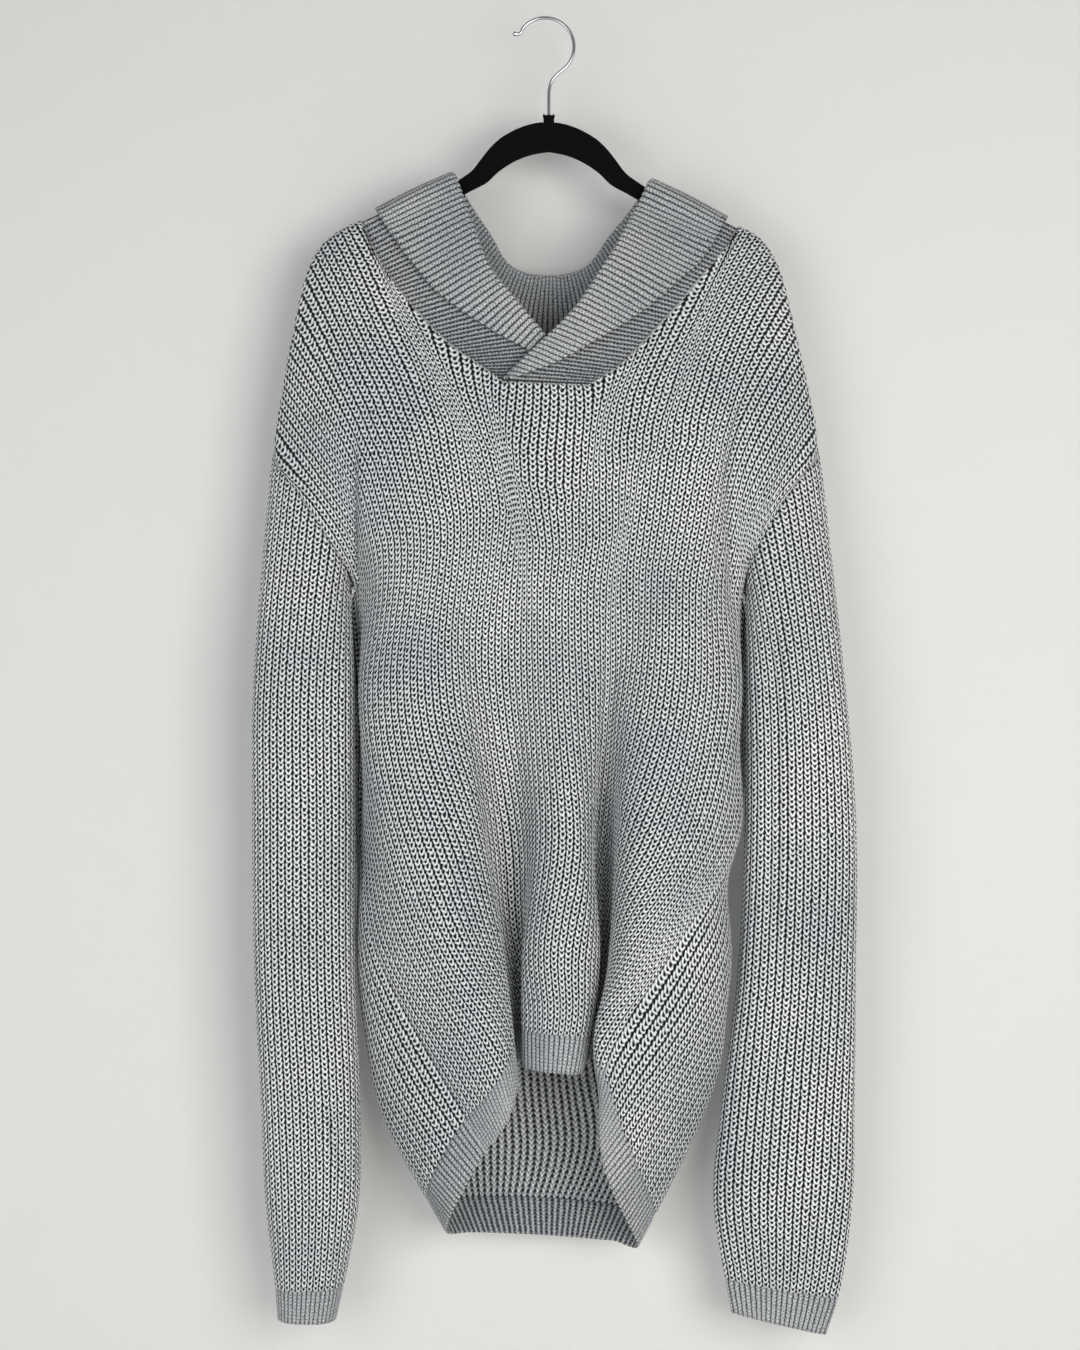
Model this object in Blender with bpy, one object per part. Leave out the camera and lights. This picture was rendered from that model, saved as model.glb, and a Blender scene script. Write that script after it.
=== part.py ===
# A tunic sweater in shaker rib, hung on a slim flocked hanger.
# The tables are in millimetres: x across, out towards the front, z up. The meshes are in metres,
# +Z up, with the front facing -Y. The origin is the inside of the hook's top, where a rail carries it.
import math

import bmesh
import bpy
import numpy as np

for old in list(bpy.data.objects):
    bpy.data.objects.remove(old, do_unlink=True)

MM = 0.001
SEAM_GAP = 0.3  # between two knitted pieces where they are linked
BODY_WALL = 2.4  # knitted wall of the body and sleeves, without its ridges
BODY_RIDGE = 0.8  # how far a ridge of the shaker rib stands up
RIB_WALL = 2.2  # knitted wall of the collar, bands and cuffs
RIB_HEIGHT = 0.9  # how far a rib of those stands up
BAND_DEPTH = 34.0  # depth of the hem bands
HALF_WIDTH = 275.0  # half the panels' width across the wales
NECK_POINT = 105.0  # where the neckline meets the shoulder, across the wales
NECK_CORNER = 37.0  # where the neckline's straight bottom ends, across the wales
LEAF_STANDS_OFF = 5.6  # between the middles of the collar's leaf and stand
FOLD_RADIUS = 2.7  # of the collar's turned edge, to the middle of its wall

# Columns of the panels between the side, the neck point and the other neck point
SIDE_COLUMNS = 19
SLOPE_COLUMNS = (105.0, 96.0, 87.5, 79.0, 70.5, 62.0, 53.5, 45.0, 37.0)
BOTTOM_COLUMNS = 9
PANEL_ROWS = (0.0, 0.03, 0.1, 0.185, 0.27, 0.37, 0.47, 0.57, 0.67, 0.76, 0.86)
STATIONS = (0.0, 0.03, 0.1, 0.27, 0.47, 0.67, 0.83, 0.915, 1.0)
UNDERARM = 0.27  # the station where the armhole ends and the side seam starts

# Shoulder line from the neck point out to the sleeve head, where front and back are linked
# across the wales: (x, out, z)
SHOULDER_LEFT = {
    -275: (-251, 0, -405),
    -235: (-241, -3, -352),
    -195: (-231, -4, -294),
    -158: (-213, -4, -224),
    -130: (-192, -4, -200),
    -105: (-168, -3.5, -187.9),
}
SHOULDER_RIGHT = {
    105: (177, -3.5, -193.6),
    130: (197, -4, -205),
    158: (213, -4, -230),
    195: (229, -4, -291),
    235: (242, -3, -350),
    275: (253, 0, -404),
}

# Side seams below the underarm: (x, out, z) at the stations from the underarm to the hem
SIDE_LEFT = ((-175, -4, -525), (-167, -26, -645), (-167, 2, -764), (-145, 45, -870), (-91, 57, -965), (-52, 62, -1026))
SIDE_RIGHT = ((180, -4, -532), (176, -2, -642), (174, 30, -757), (115, 82, -843), (60, 88, -930), (49, 64, -984))

# Rib lines of the front, from neck or shoulder to hem. The lobes hang from the hanger's ends, the
# valleys fall from the neckline's slopes and the tongue from its straight bottom.
# wale: (top, yoke, chest, waist, hip, low, lap, hem)
FRONT = {
    -235: (None, (-202, 34, -413), (-166, 14, -509), (-164, 34, -628), (-140, 62, -759), (-107, 80, -855), (-70, 82, -930), (-37, 78, -1004)),
    -195: (None, (-195, 34, -359), (-151, 38, -486), (-122, 62, -616), (-96, 80, -758), (-70, 88, -849), (-47, 86, -915), (-29, 80, -985)),
    -158: (None, (-177, 32, -304), (-112, 46, -464), (-83, 60, -607), (-58, 58, -750), (-39, 60, -853), (-31, 62, -911), (-25, 62, -966)),
    -130: (None, (-156, 34, -291), (-85, 46, -464), (-64, 50, -607), (-50, 30, -757), (-38, 28, -857), (-33, 30, -908), (-29, 31, -955)),
    -105: (None, (-132, 34, -280), (-61, 46, -459), (-46, 42, -608), (-35, 14, -763), (-28, 10, -860), (-23, 11, -910), (-19, 12, -955)),
    -82: ((-133, 28, -255), (-106, 40, -324), (-45, 46, -459), (-30, 42, -608), (-19, 24, -762), (-18, 20, -858), (-14, 23, -908), (-10, 26, -954)),
    -60: ((-92, 35, -298), (-77, 42, -351), (-33, 47, -459), (-15, 48, -616), (-8, 50, -760), (-19, 48, -859), (-20, 50, -906), (-19, 54, -954)),
    -37: ((-38, 42, -338), (-33, 44, -383), (-19, 50, -482), (-1, 56, -621), (3, 62, -759), (-5, 66, -858), (-5, 67, -906), (-5, 68, -955)),
    0: ((1, 43, -340), (3, 45, -392), (9, 52, -491), (15, 60, -625), (19, 68, -759), (17, 72, -858), (14, 73, -905), (10, 72, -956)),
    37: ((39, 42, -341), (39, 44, -383), (34, 50, -486), (31, 56, -625), (34, 62, -759), (40, 64, -859), (36, 67, -906), (27, 68, -958)),
    60: ((75, 40, -315), (63, 43, -364), (52, 49, -482), (46, 48, -625), (42, 44, -760), (48, 46, -861), (43, 50, -906), (33, 54, -958)),
    82: ((115, 32, -274), (93, 42, -342), (65, 47, -477), (53, 40, -626), (46, 18, -763), (44, 16, -864), (37, 22, -908), (30, 28, -957)),
    105: (None, (131, 34, -305), (80, 47, -464), (61, 42, -621), (54, 6, -764), (52, 3, -862), (46, 4, -910), (40, 4, -956)),
    130: (None, (154, 34, -296), (100, 47, -464), (69, 54, -621), (62, 20, -761), (60, 14, -856), (55, 12, -905), (50, 12, -954)),
    158: (None, (174, 34, -305), (121, 47, -464), (84, 66, -621), (67, 56, -755), (59, 46, -850), (53, 40, -900), (52, 30, -953)),
    195: (None, (192, 36, -359), (150, 44, -477), (118, 72, -625), (91, 80, -758), (69, 78, -851), (47, 74, -908), (49, 42, -960)),
    235: (None, (208, 36, -413), (176, 18, -512), (170, 44, -630), (139, 68, -758), (90, 88, -850), (48, 86, -918), (49, 56, -970)),
}
# Armholes between the sleeve head and the underarm: below the roll, and half way
FRONT_ARMHOLE = {-275: ((-243, 10, -413), (-212, 27, -457)), 275: ((243, 12, -410), (209, 28, -458))}

# Rib lines of the back, which hangs nearly flat and swings round to the front below the sleeves
BACK = {
    -235: (None, (-218, -30, -425), (-203, -44, -530), (-200, -50, -650), (-173, -28, -785), (-163, 16, -900), (-126, 36, -990), (-70, 58, -1058)),
    -195: (None, (-202, -33, -380), (-178, -48, -515), (-180, -56, -655), (-152, -46, -800), (-166, -16, -925), (-146, 2, -1012), (-84, 44, -1087)),
    -158: (None, (-178, -36, -330), (-150, -45, -500), (-138, -52, -650), (-114, -48, -800), (-146, -36, -955), (-136, -24, -1030), (-90, 14, -1111)),
    -105: (None, (-130, -40, -310), (-102, -46, -490), (-92, -48, -645), (-74, -44, -800), (-88, -42, -975), (-92, -36, -1050), (-68, -18, -1120)),
    -50: ((-60, -41, -292), (-62, -44, -370), (-50, -47, -500), (-45, -46, -650), (-36, -43, -805), (-42, -42, -1000), (-42, -37, -1062), (-32, -25, -1123)),
    0: ((0, -43, -303), (0, -45, -380), (0, -48, -505), (0, -48, -655), (2, -44, -808), (2, -42, -1004), (0, -38, -1066), (0, -27, -1125)),
    50: ((64, -41, -292), (62, -44, -370), (50, -47, -500), (47, -46, -650), (42, -43, -805), (46, -42, -990), (46, -37, -1056), (33, -25, -1127)),
    105: (None, (132, -40, -310), (106, -46, -490), (98, -48, -645), (82, -44, -800), (110, -40, -952), (108, -32, -1022), (63, -18, -1128)),
    158: (None, (180, -36, -335), (155, -45, -500), (142, -52, -650), (124, -46, -795), (160, -14, -912), (154, -2, -985), (84, 11, -1122)),
    195: (None, (206, -33, -385), (184, -48, -515), (182, -56, -655), (158, -42, -790), (166, 22, -890), (140, 40, -962), (61, 56, -1067)),
    235: (None, (216, -30, -430), (208, -44, -535), (198, -50, -650), (169, -20, -775), (150, 58, -868), (98, 76, -952), (50, 58, -1030)),
}
BACK_ARMHOLE = {-275: ((-245, -9, -414), (-214, -24, -457)), 275: ((246, -9, -412), (211, -24, -460))}

# Neckline of the back between the neck points, across the wales. Both necklines begin a little
# below the shoulder line, so the collar lies over the hanger's arms.
BACK_NECK = {
    -105: (-167.2, -9.3, -190.4),
    -96: (-158, -19, -207),
    -86: (-138, -29, -233),
    -74: (-112, -36, -259),
    -50: (-62, -41, -291),
    0: (0, -43, -303),
    50: (64, -41, -291),
    74: (116, -36, -259),
    86: (146, -29, -235),
    96: (167, -19, -211),
    105: (176.2, -9.3, -196),
}
# Neckline of the front: sloping sides and a straight bottom
FRONT_NECK = {
    -105: (-167.5, 7.5, -189.2),
    -96: (-159, 13, -210),
    -86: (-143, 21, -238),
    -74: (-121, 30, -268),
    -60: (-92, 35, -298),
    -48: (-64, 38, -319),
    -37: (-38, 42, -338),
    37: (39, 42, -341),
    48: (71, 39, -319),
    60: (98, 35, -292),
    74: (127, 30, -260),
    86: (150, 23, -232),
    96: (166.5, 14, -210.5),
    105: (176.5, 7.5, -195.2),
}

# Long soft creases pressed into a panel: from (x, z) to (x, z), half width, depth
FRONT_CREASES = (
    ((-162, -372), (-167, -545), 9, 11),
    ((172, -352), (157, -445), 9, 7),
    ((157, -415), (171, -552), 10, 11),
    ((-92, -430), (-52, -640), 20, 5),
    ((100, -470), (66, -640), 18, 5),
)
BACK_CREASES = (
    ((-96, -330), (-52, -760), 24, 17),
    ((-28, -480), (-18, -1040), 20, 13),
    ((104, -340), (60, -780), 24, 16),
    ((34, -520), (38, -1060), 19, 12),
    ((-150, -360), (-120, -620), 20, 10),
    ((158, -370), (130, -640), 20, 10),
)

# Sleeve sections below the armhole
# z at the outer side, z at the inner side, outer x, inner x, front, back
SLEEVE_LEFT = (
    (-590, -596, -264, -175, 38, -21),
    (-735, -735, -266, -175, 39, -22),
    (-880, -880, -264, -175, 39, -22),
    (-1000, -1000, -258, -171, 37, -22),
    (-1090, -1090, -254, -173, 33, -20),
    (-1162, -1161, -246, -186, 30, -24),
    (-1192, -1193, -244, -193, 27, -23),
)
SLEEVE_RIGHT = (
    (-590, -600, 271, 184, 35, -20),
    (-735, -735, 283, 185, 36, -20),
    (-880, -880, 283, 178, 33, -20),
    (-1000, -1000, 282, 163, 28, -17),
    (-1090, -1086, 280, 156, 22, -14),
    (-1174, -1156, 268, 166, 13, -8),
    (-1208, -1188, 257, 172, 10, -6),
)
ROUNDNESS = 0.78  # of the sections: 1 for an ellipse, less for a fuller one
SLEEVE_STATIONS = (0.0, 0.14, 0.32, 0.52, 0.7, 0.84, 0.95, 1.0)
SLEEVE_ROWS = (0.0, 0.07, 0.14, 0.23, 0.32, 0.43, 0.56, 0.68, 0.78, 0.87, 0.95)
SLEEVE_COLUMNS = 28
CUFF_RIBS = 33
# Creases down the sleeves: (x, z) to (x, z), half width, depth
SLEEVE_LEFT_CREASES = (((-206, -500), (-204, -900), 12, 4), ((-196, -980), (-178, -1075), 9, 5))
SLEEVE_RIGHT_CREASES = (((209, -480), (206, -900), 12, 6), ((214, -900), (196, -1080), 12, 4))

# Collar, a strip from the right end round the back to the left end. Where each rib line leaves the
# neckline, where it turns over, and where its leaf ends: (x, out, z) each
COLLAR = (
    ((39, 42, -341), (-38, 46, -337.5), (-31, 51, -336.5)),
    ((67, 39, -321), (-11, 48, -311), (13, 52, -321)),
    ((81, 37, -309), (3, 48, -298), (33, 52, -310)),
    ((106, 33, -284), (31, 45, -268), (71, 47, -287)),
    ((122, 30, -266), (47, 41, -243), (96, 42, -269)),
    ((138, 26, -250), (62, 33, -219), (120, 34, -247)),
    ((152, 19, -232), (74, 23, -195), (140, 24, -229)),
    ((165, 14, -212), (84, 14, -176), (154, 15, -208)),
    ((176.5, 7.5, -195.2), (95, 7, -152.4), (164, 12, -187)),
    ((177, -3.5, -193.6), (97, -1, -148.6), (168, -2, -181.5)),
    ((167, -19, -211), (94, -9, -153), (161, -19, -192)),
    ((150, -27, -230), (80, -17, -172), (140, -38, -214)),
    ((116, -36, -259), (62, -25, -193), (114, -44, -243)),
    ((72, -40, -288), (40, -31, -221), (72, -48, -270)),
    ((0, -43, -303), (3, -34, -230), (0, -50, -289)),
    ((-72, -40, -286), (-34, -30, -220), (-70, -48, -270)),
    ((-112, -36, -259), (-52, -24, -192), (-106, -44, -240)),
    ((-142, -27, -228), (-69, -15, -168), (-132, -38, -209)),
    ((-158, -19, -207), (-81, -9, -147.4), (-150, -20, -185)),
    ((-168, -3.5, -187.9), (-84, -1, -142.7), (-156, -2, -174)),
    ((-167.5, 7.5, -189.2), (-82, 7, -146.2), (-153, 12, -180)),
    ((-158.5, 13, -211), (-76, 14, -164), (-144, 15, -195)),
    ((-147, 20, -233), (-65, 22, -196), (-122, 23, -227)),
    ((-132, 26, -257), (-53, 31, -229), (-99, 33, -255)),
    ((-103, 33, -288), (-24, 35, -267), (-51, 38, -290)),
    ((-77, 37, -310), (3, 35, -299), (-11, 38, -312)),
    ((-58, 38, -323), (20, 34, -317), (9, 37, -325)),
    ((-38, 42, -338), (40, 33, -340), (33, 36, -340)),
)
COLLAR_RIBS = 118
COLLAR_LINING_STEP = 4  # columns of the ribbed side for each of the plain side, half that where it bends
END_TUCK = 2.5  # how far the left end lies behind the right one
TUCK_LENGTH = 36.0

# Hanger, half of it: distance from its middle, top edge, bottom edge
HANGER_MIDDLE = 3.5
HANGER_HALF = (
    (0, -94.0, -122.0),
    (18, -97.0, -125.5),
    (34, -103.5, -132.5),
    (47, -112.0, -141.5),
    (57, -122.5, -151.0),
    (62, -129.0, -154.0),
    (70, -139.5, -158.0),
    (80, -147.2, -163.6),
    (120, -167.4, -184.0),
    (160, -187.6, -204.0),
    (185, -200.6, -216.5),
    (196, -208.6, -222.0),
    (202, -215.5, -221.5),
)
HANGER_TILT = math.radians(0.9)  # the right arm hangs a little lower
HANGER_THICKNESS = 5.2
BOSS_RADIUS = 5.0
BOSS_TOP = -88.0
# Hook wire
WIRE = 3.2
HOOK_RADIUS = 26.7  # to the middle of the wire
HOOK_START = 140.0  # degrees round the circle where the tip curls away
HOOK_END = -52.0
TIP = ((-29.5, -12.0), (-26.0, -13.6), (-22.6, -12.6))
NECK = ((11.5, -50.0), (6.4, -56.0), (4.0, -64.0), (3.5, -76.0), (3.5, -87.7))


def smooth_slopes(knots, values):
    """Slopes of a smooth curve through values at knots."""
    step = np.diff(knots).reshape((-1,) + (1,) * (values.ndim - 1))
    rise = np.diff(values, axis=0) / step
    slope = np.empty_like(values)
    slope[1:-1] = (rise[:-1] * step[1:] + rise[1:] * step[:-1]) / (step[1:] + step[:-1])
    slope[0] = 1.5 * rise[0] - 0.5 * slope[1]
    slope[-1] = 1.5 * rise[-1] - 0.5 * slope[-2]
    return slope


def curve(knots, values, at):
    """Points at the places at, on the smooth curve through values at knots."""
    knots = np.asarray(knots, float)
    values = np.asarray(values, float)
    at = np.clip(np.asarray(at, float), knots[0], knots[-1])
    if len(knots) == 2:
        return values[0] + (values[1] - values[0]) * ((at - knots[0]) / (knots[1] - knots[0]))[..., None]
    slope = smooth_slopes(knots, values)
    cell = np.clip(np.searchsorted(knots, at, side="right") - 1, 0, len(knots) - 2)
    width = knots[cell + 1] - knots[cell]
    t = (at - knots[cell]) / width
    spare = (1,) * (values.ndim - 1)
    t = t.reshape(t.shape + spare)
    width = width.reshape(width.shape + spare)
    start = values[cell] * (2 * t**3 - 3 * t**2 + 1) + slope[cell] * width * (t**3 - 2 * t**2 + t)
    return start + values[cell + 1] * (3 * t**2 - 2 * t**3) + slope[cell + 1] * width * (t**3 - t**2)


def table_curve(table, at):
    """The same, through a table of place: point."""
    return curve(list(table), list(table.values()), at)


def ease(t):
    """0 to 1, level at both ends."""
    t = np.clip(t, 0.0, 1.0)
    return t * t * (3 - 2 * t)


def press(points, creases, inward, share):
    """Presses long soft creases into columns of points, each by its share, along out."""
    for start, end, half_width, depth in creases:
        start = np.array(start, float)
        along = np.array(end, float) - start
        length = np.linalg.norm(along)
        along /= length
        offset = points[..., [0, 2]] - start
        way = offset @ along / length
        side = np.abs(offset[..., 0] * along[1] - offset[..., 1] * along[0]) / half_width
        fade = ease(way / 0.3) * ease((1 - way) / 0.25)
        points[..., 1] += inward * depth * share[:, None] * fade * np.exp(-side * side * 1.6)
    return points


class Panel:
    """A front or back panel: its middle surface over wales across and stations down."""

    def __init__(self, ribs, armholes, neck, creases, inward):
        self.neck = neck
        self.creases = creases
        self.inward = inward
        lines = {wale: stations[1:] for wale, stations in ribs.items()}
        lines[-275] = armholes[-275][1:] + SIDE_LEFT
        lines[275] = armholes[275][1:] + SIDE_RIGHT
        self.wales = sorted(lines)
        self.lines = np.array([lines[wale] for wale in self.wales], float)
        self.arm_turns = {wale: np.array(points[0], float) for wale, points in armholes.items()}

    def edge(self, wales):
        """The top edge: shoulder lines outside the neck points, the neckline between them."""
        keys = np.array(list(self.neck), float)
        points = np.array(list(self.neck.values()), float)
        middle = curve(keys, points, wales)
        if NECK_CORNER in self.neck:
            left = keys <= -NECK_CORNER
            right = keys >= NECK_CORNER
            bottom = np.abs(keys) <= NECK_CORNER
            straight = curve(keys[bottom], points[bottom], wales)
            middle = np.where((wales < -NECK_CORNER)[:, None], curve(keys[left], points[left], wales), straight)
            middle = np.where((wales > NECK_CORNER)[:, None], curve(keys[right], points[right], wales), middle)
        edge = np.where((wales <= -NECK_POINT)[:, None], table_curve(SHOULDER_LEFT, wales), middle)
        return np.where((wales >= NECK_POINT)[:, None], table_curve(SHOULDER_RIGHT, wales), edge)

    def turn(self, wales, top, yoke):
        """Points a little below the top edge: rolled over the shoulder, or just below the neckline."""
        roll = ease((np.abs(wales) - NECK_POINT) / 4 + 1)[:, None]
        lift, swing = (0.087, 0.2) if self.inward < 0 else (0.08, 0.06)
        made = top + (0.1 - lift * roll) * (yoke - top)
        made[:, 1:2] = top[:, 1:2] + (0.1 + swing * roll) * (yoke - top)[:, 1:2]
        for wale, point in self.arm_turns.items():
            made += ease(1 - np.abs(wales - wale) / 25)[:, None] * (point - made)
        return made

    def points(self, wales, rows):
        """Points at wales (columns) and rows, which is one array or one for each wale."""
        wales = np.asarray(wales, float)
        rows = np.broadcast_to(np.asarray(rows, float), (len(wales), np.shape(rows)[-1]))
        body = curve(self.wales, self.lines, wales)
        top = self.edge(wales)
        turn = self.turn(wales, top, body[:, 0])
        lines = np.concatenate([top[:, None], turn[:, None], body], axis=1)
        grid = np.array([curve(STATIONS, line, row) for line, row in zip(lines, rows)])
        # the side seams below the underarm are lines that front and back share
        for wale, side in ((-HALF_WIDTH, SIDE_LEFT), (HALF_WIDTH, SIDE_RIGHT)):
            near = ease(1 - np.abs(wales - wale) / 20)
            for column in np.flatnonzero(near):
                seam = curve(STATIONS[3:], side, rows[column])
                shift = seam - curve(STATIONS, self.side_line(wale), rows[column])
                grid[column] += near[column] * np.where((rows[column] >= UNDERARM)[:, None], shift, 0.0)
        fade = ease((HALF_WIDTH - np.abs(wales)) / 30)
        return press(grid, self.creases, self.inward, fade)

    def side_line(self, wale):
        """The outermost rib line with all its stations."""
        line = self.lines[0 if wale < 0 else -1]
        shoulder = SHOULDER_LEFT if wale < 0 else SHOULDER_RIGHT
        return np.concatenate([[shoulder[int(wale)]], self.arm_turns[int(wale)][None], line])

    def normals(self, wales, rows):
        """Unit normals of the middle surface, pointing out of the sweater."""
        wales = np.asarray(wales, float)
        rows = np.broadcast_to(np.asarray(rows, float), (len(wales), np.shape(rows)[-1]))
        step, drop = 3.0, 0.004
        # near the neckline the ribs run almost along the edge, so it is measured a little below
        level = np.where(np.abs(wales) <= NECK_POINT, 0.05, 0.012)[:, None]
        rows = np.maximum(rows, level)
        low = np.clip(wales - step, -HALF_WIDTH, HALF_WIDTH)
        high = np.clip(wales + step, -HALF_WIDTH, HALF_WIDTH)
        across = self.points(high, rows) - self.points(low, rows)
        down = self.points(wales, np.clip(rows + drop, 0, 1)) - self.points(wales, np.clip(rows - drop, 0, 1))
        return unit(np.cross(across, down)) * -self.inward

    def band_row(self, wales):
        """The station on each wale where the hem band starts."""
        fine = np.linspace(0.83, 1.0, 60)
        line = self.points(wales, fine)
        steps = np.linalg.norm(np.diff(line, axis=1), axis=2)
        left = np.cumsum(steps[:, ::-1], axis=1)[:, ::-1]
        return np.array([np.interp(-BAND_DEPTH, -row, fine[:-1]) for row in left])


def unit(vectors):
    return vectors / np.maximum(np.linalg.norm(vectors, axis=-1, keepdims=True), 1e-9)


def retreat(edge, inner, normals, closed=False, gap=SEAM_GAP / 2):
    """An edge line moved back within its surface, away from the seam. inner is the next line in."""
    if closed:
        tangent = np.roll(edge, -1, axis=0) - np.roll(edge, 1, axis=0)
    else:
        tangent = np.gradient(edge, axis=0)
    back = unit(np.cross(normals, tangent))
    way = 1.0 if np.sum((inner - edge) * back) > 0 else -1.0
    return edge + np.reshape(gap, (-1, 1)) * way * back


def open_seams(grid, normals, closed=False, sides=True):
    """Moves a grid's edges back from its seams: top, bottom and, if it has any, sides."""
    ends = [(grid[:, 0], grid[:, 1], normals[:, 0]), (grid[:, -1], grid[:, -2], normals[:, -1])]
    moved = [retreat(*end, closed=closed) for end in ends]
    grid[:, 0], grid[:, -1] = moved
    if sides:
        grid[0] = retreat(grid[0], grid[1], normals[0])
        grid[-1] = retreat(grid[-1], grid[-2], normals[-1])


def on_line(points, normals, share):
    """Points and normals at shares (0 to 1 by length) of a line of straight pieces."""
    length = np.concatenate([[0.0], np.cumsum(np.linalg.norm(np.diff(points, axis=0), axis=1))])
    at = np.asarray(share) * length[-1]
    place = np.stack([np.interp(at, length, points[:, k]) for k in range(3)], axis=-1)
    facing = np.stack([np.interp(at, length, normals[:, k]) for k in range(3)], axis=-1)
    return place, facing


def material(name, colour, roughness, metallic=0.0):
    made = bpy.data.materials.new(name)
    made.use_nodes = True
    shader = made.node_tree.nodes["Principled BSDF"]
    shader.inputs["Base Color"].default_value = (*colour, 1.0)
    shader.inputs["Roughness"].default_value = roughness
    shader.inputs["Metallic"].default_value = metallic
    return made


def finish(name, mesh, look):
    """Turns a bmesh in millimetres into a named object with its material."""
    bmesh.ops.scale(mesh, vec=(MM, MM, MM), verts=mesh.verts)
    bmesh.ops.triangulate(mesh, faces=mesh.faces, quad_method="SHORT_EDGE")
    data = bpy.data.meshes.new(name)
    mesh.to_mesh(data)
    mesh.free()
    data.materials.append(look)
    made = bpy.data.objects.new(name, data)
    bpy.context.scene.collection.objects.link(made)
    return made


def stitch(mesh, first, second, first_at, second_at):
    """Joins two lines of vertices with triangles, by the places of the vertices along the lines."""
    i = j = 0
    last_i, last_j = len(first) - 1, len(second) - 1
    while i < last_i or j < last_j:
        if j == last_j or (i < last_i and first_at[i + 1] <= second_at[j + 1]):
            mesh.faces.new((first[i], first[i + 1], second[j]))
            i += 1
        else:
            mesh.faces.new((first[i], second[j + 1], second[j]))
            j += 1


def place(mesh, point):
    """A vertex at a table's (x, out, z)."""
    return mesh.verts.new((point[0], -point[1], point[2]))


def wall(name, outer, inner, look, closed=False, inner_at=None):
    """A knitted wall between an outer and an inner grid of points (columns, rows), where the inner
    one may have fewer columns. The outer face looks out; closed joins the last column to the first."""
    mesh = bmesh.new()
    shell = [[place(mesh, point) for point in column] for column in outer]
    lining = [[place(mesh, point) for point in column] for column in inner]
    if inner_at is None:
        inner_at = np.arange(len(inner)) * (len(outer) / len(inner) if closed else (len(outer) - 1) / (len(inner) - 1))
    inner_at = list(inner_at)
    outer_at = list(range(len(outer)))
    if closed:
        shell.append(shell[0])
        lining.append(lining[0])
        outer_at.append(len(outer))
        inner_at.append(len(outer))
    for sheet, outward in ((shell, True), (lining, False)):
        for left, right in zip(sheet, sheet[1:]):
            for a, b, c, d in zip(left, left[1:], right[1:], right):
                mesh.faces.new((a, b, c, d) if outward else (d, c, b, a))
    stitch(mesh, [column[0] for column in shell], [column[0] for column in lining], outer_at, inner_at)
    stitch(mesh, [column[-1] for column in lining], [column[-1] for column in shell], inner_at, outer_at)
    if not closed:
        rows = list(range(outer.shape[1]))
        stitch(mesh, lining[0], shell[0], rows, rows)
        stitch(mesh, shell[-1], lining[-1], rows, rows)
    return finish(name, mesh, look)


def panel_wall(name, outer, inner, look, kept):
    """A wall of only the kept cells of two like grids, closed all along its rim."""
    mesh = bmesh.new()
    shell, lining = {}, {}
    rim = {}
    for column, row in kept:
        cell = [(column, row), (column, row + 1), (column + 1, row + 1), (column + 1, row)]
        for key in cell:
            if key not in shell:
                shell[key] = place(mesh, outer[key])
                lining[key] = place(mesh, inner[key])
        mesh.faces.new([shell[key] for key in cell])
        mesh.faces.new([lining[key] for key in reversed(cell)])
        for start, end in zip(cell, cell[1:] + cell[:1]):
            if (end, start) in rim:
                del rim[end, start]
            else:
                rim[start, end] = True
    for start, end in rim:
        mesh.faces.new((shell[end], shell[start], lining[start], lining[end]))
    return finish(name, mesh, look)


def ridged(points, normals, half_wall, height, first=0, flat=()):
    """Outer points of a wall, with every second column raised but the flat ones."""
    lift = np.full(len(points), half_wall)
    lift[first::2] += height
    lift[list(flat)] = half_wall
    return points + normals * lift[:, None, None]


def plain(points, normals, half_wall):
    return points - normals * half_wall


def panel_columns():
    side = np.linspace(-HALF_WIDTH, -NECK_POINT, SIDE_COLUMNS + 1)
    slope = -np.array(SLOPE_COLUMNS)
    bottom = np.linspace(-NECK_CORNER, NECK_CORNER, BOTTOM_COLUMNS + 1)
    return np.concatenate([side, slope[1:], bottom[1:], -slope[-2::-1], -side[-2::-1]])


def seam_normals(front, back):
    """Front and back share one normal at each point of their side seams and shoulder seams."""
    for side, far in ((0, -1), (-1, 0)):
        below = slice(PANEL_ROWS.index(UNDERARM), None)
        shared = unit(front[side, below] + back[far, below])
        front[side, below] = shared
        back[far, below] = shared
    for shoulder in (slice(0, SIDE_COLUMNS + 1), slice(-SIDE_COLUMNS - 1, None)):
        flipped = slice(-shoulder.stop, None) if shoulder.start == 0 else slice(0, SIDE_COLUMNS + 1)
        shared = unit(front[shoulder, 0] + back[flipped, 0][::-1])
        front[shoulder, 0] = shared
        back[flipped, 0] = shared[::-1]


# Front and back, the back's columns running from its right side to its left
front_panel = Panel(FRONT, FRONT_ARMHOLE, FRONT_NECK, FRONT_CREASES, -1)
back_panel = Panel(BACK, BACK_ARMHOLE, BACK_NECK, BACK_CREASES, 1)
columns = panel_columns()


def panel_grid(panel, wales):
    """Points and normals of a panel. The neckline starts a row below the shoulder line."""
    rows = np.column_stack([np.tile(PANEL_ROWS, (len(wales), 1)), panel.band_row(wales)])
    rows[np.abs(wales) < NECK_POINT, 1] = 0.0
    return panel.points(wales, rows), panel.normals(wales, rows)


front_points, front_normals = panel_grid(front_panel, columns)
back_points, back_normals = panel_grid(back_panel, columns[::-1])
seam_normals(front_normals, back_normals)


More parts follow.
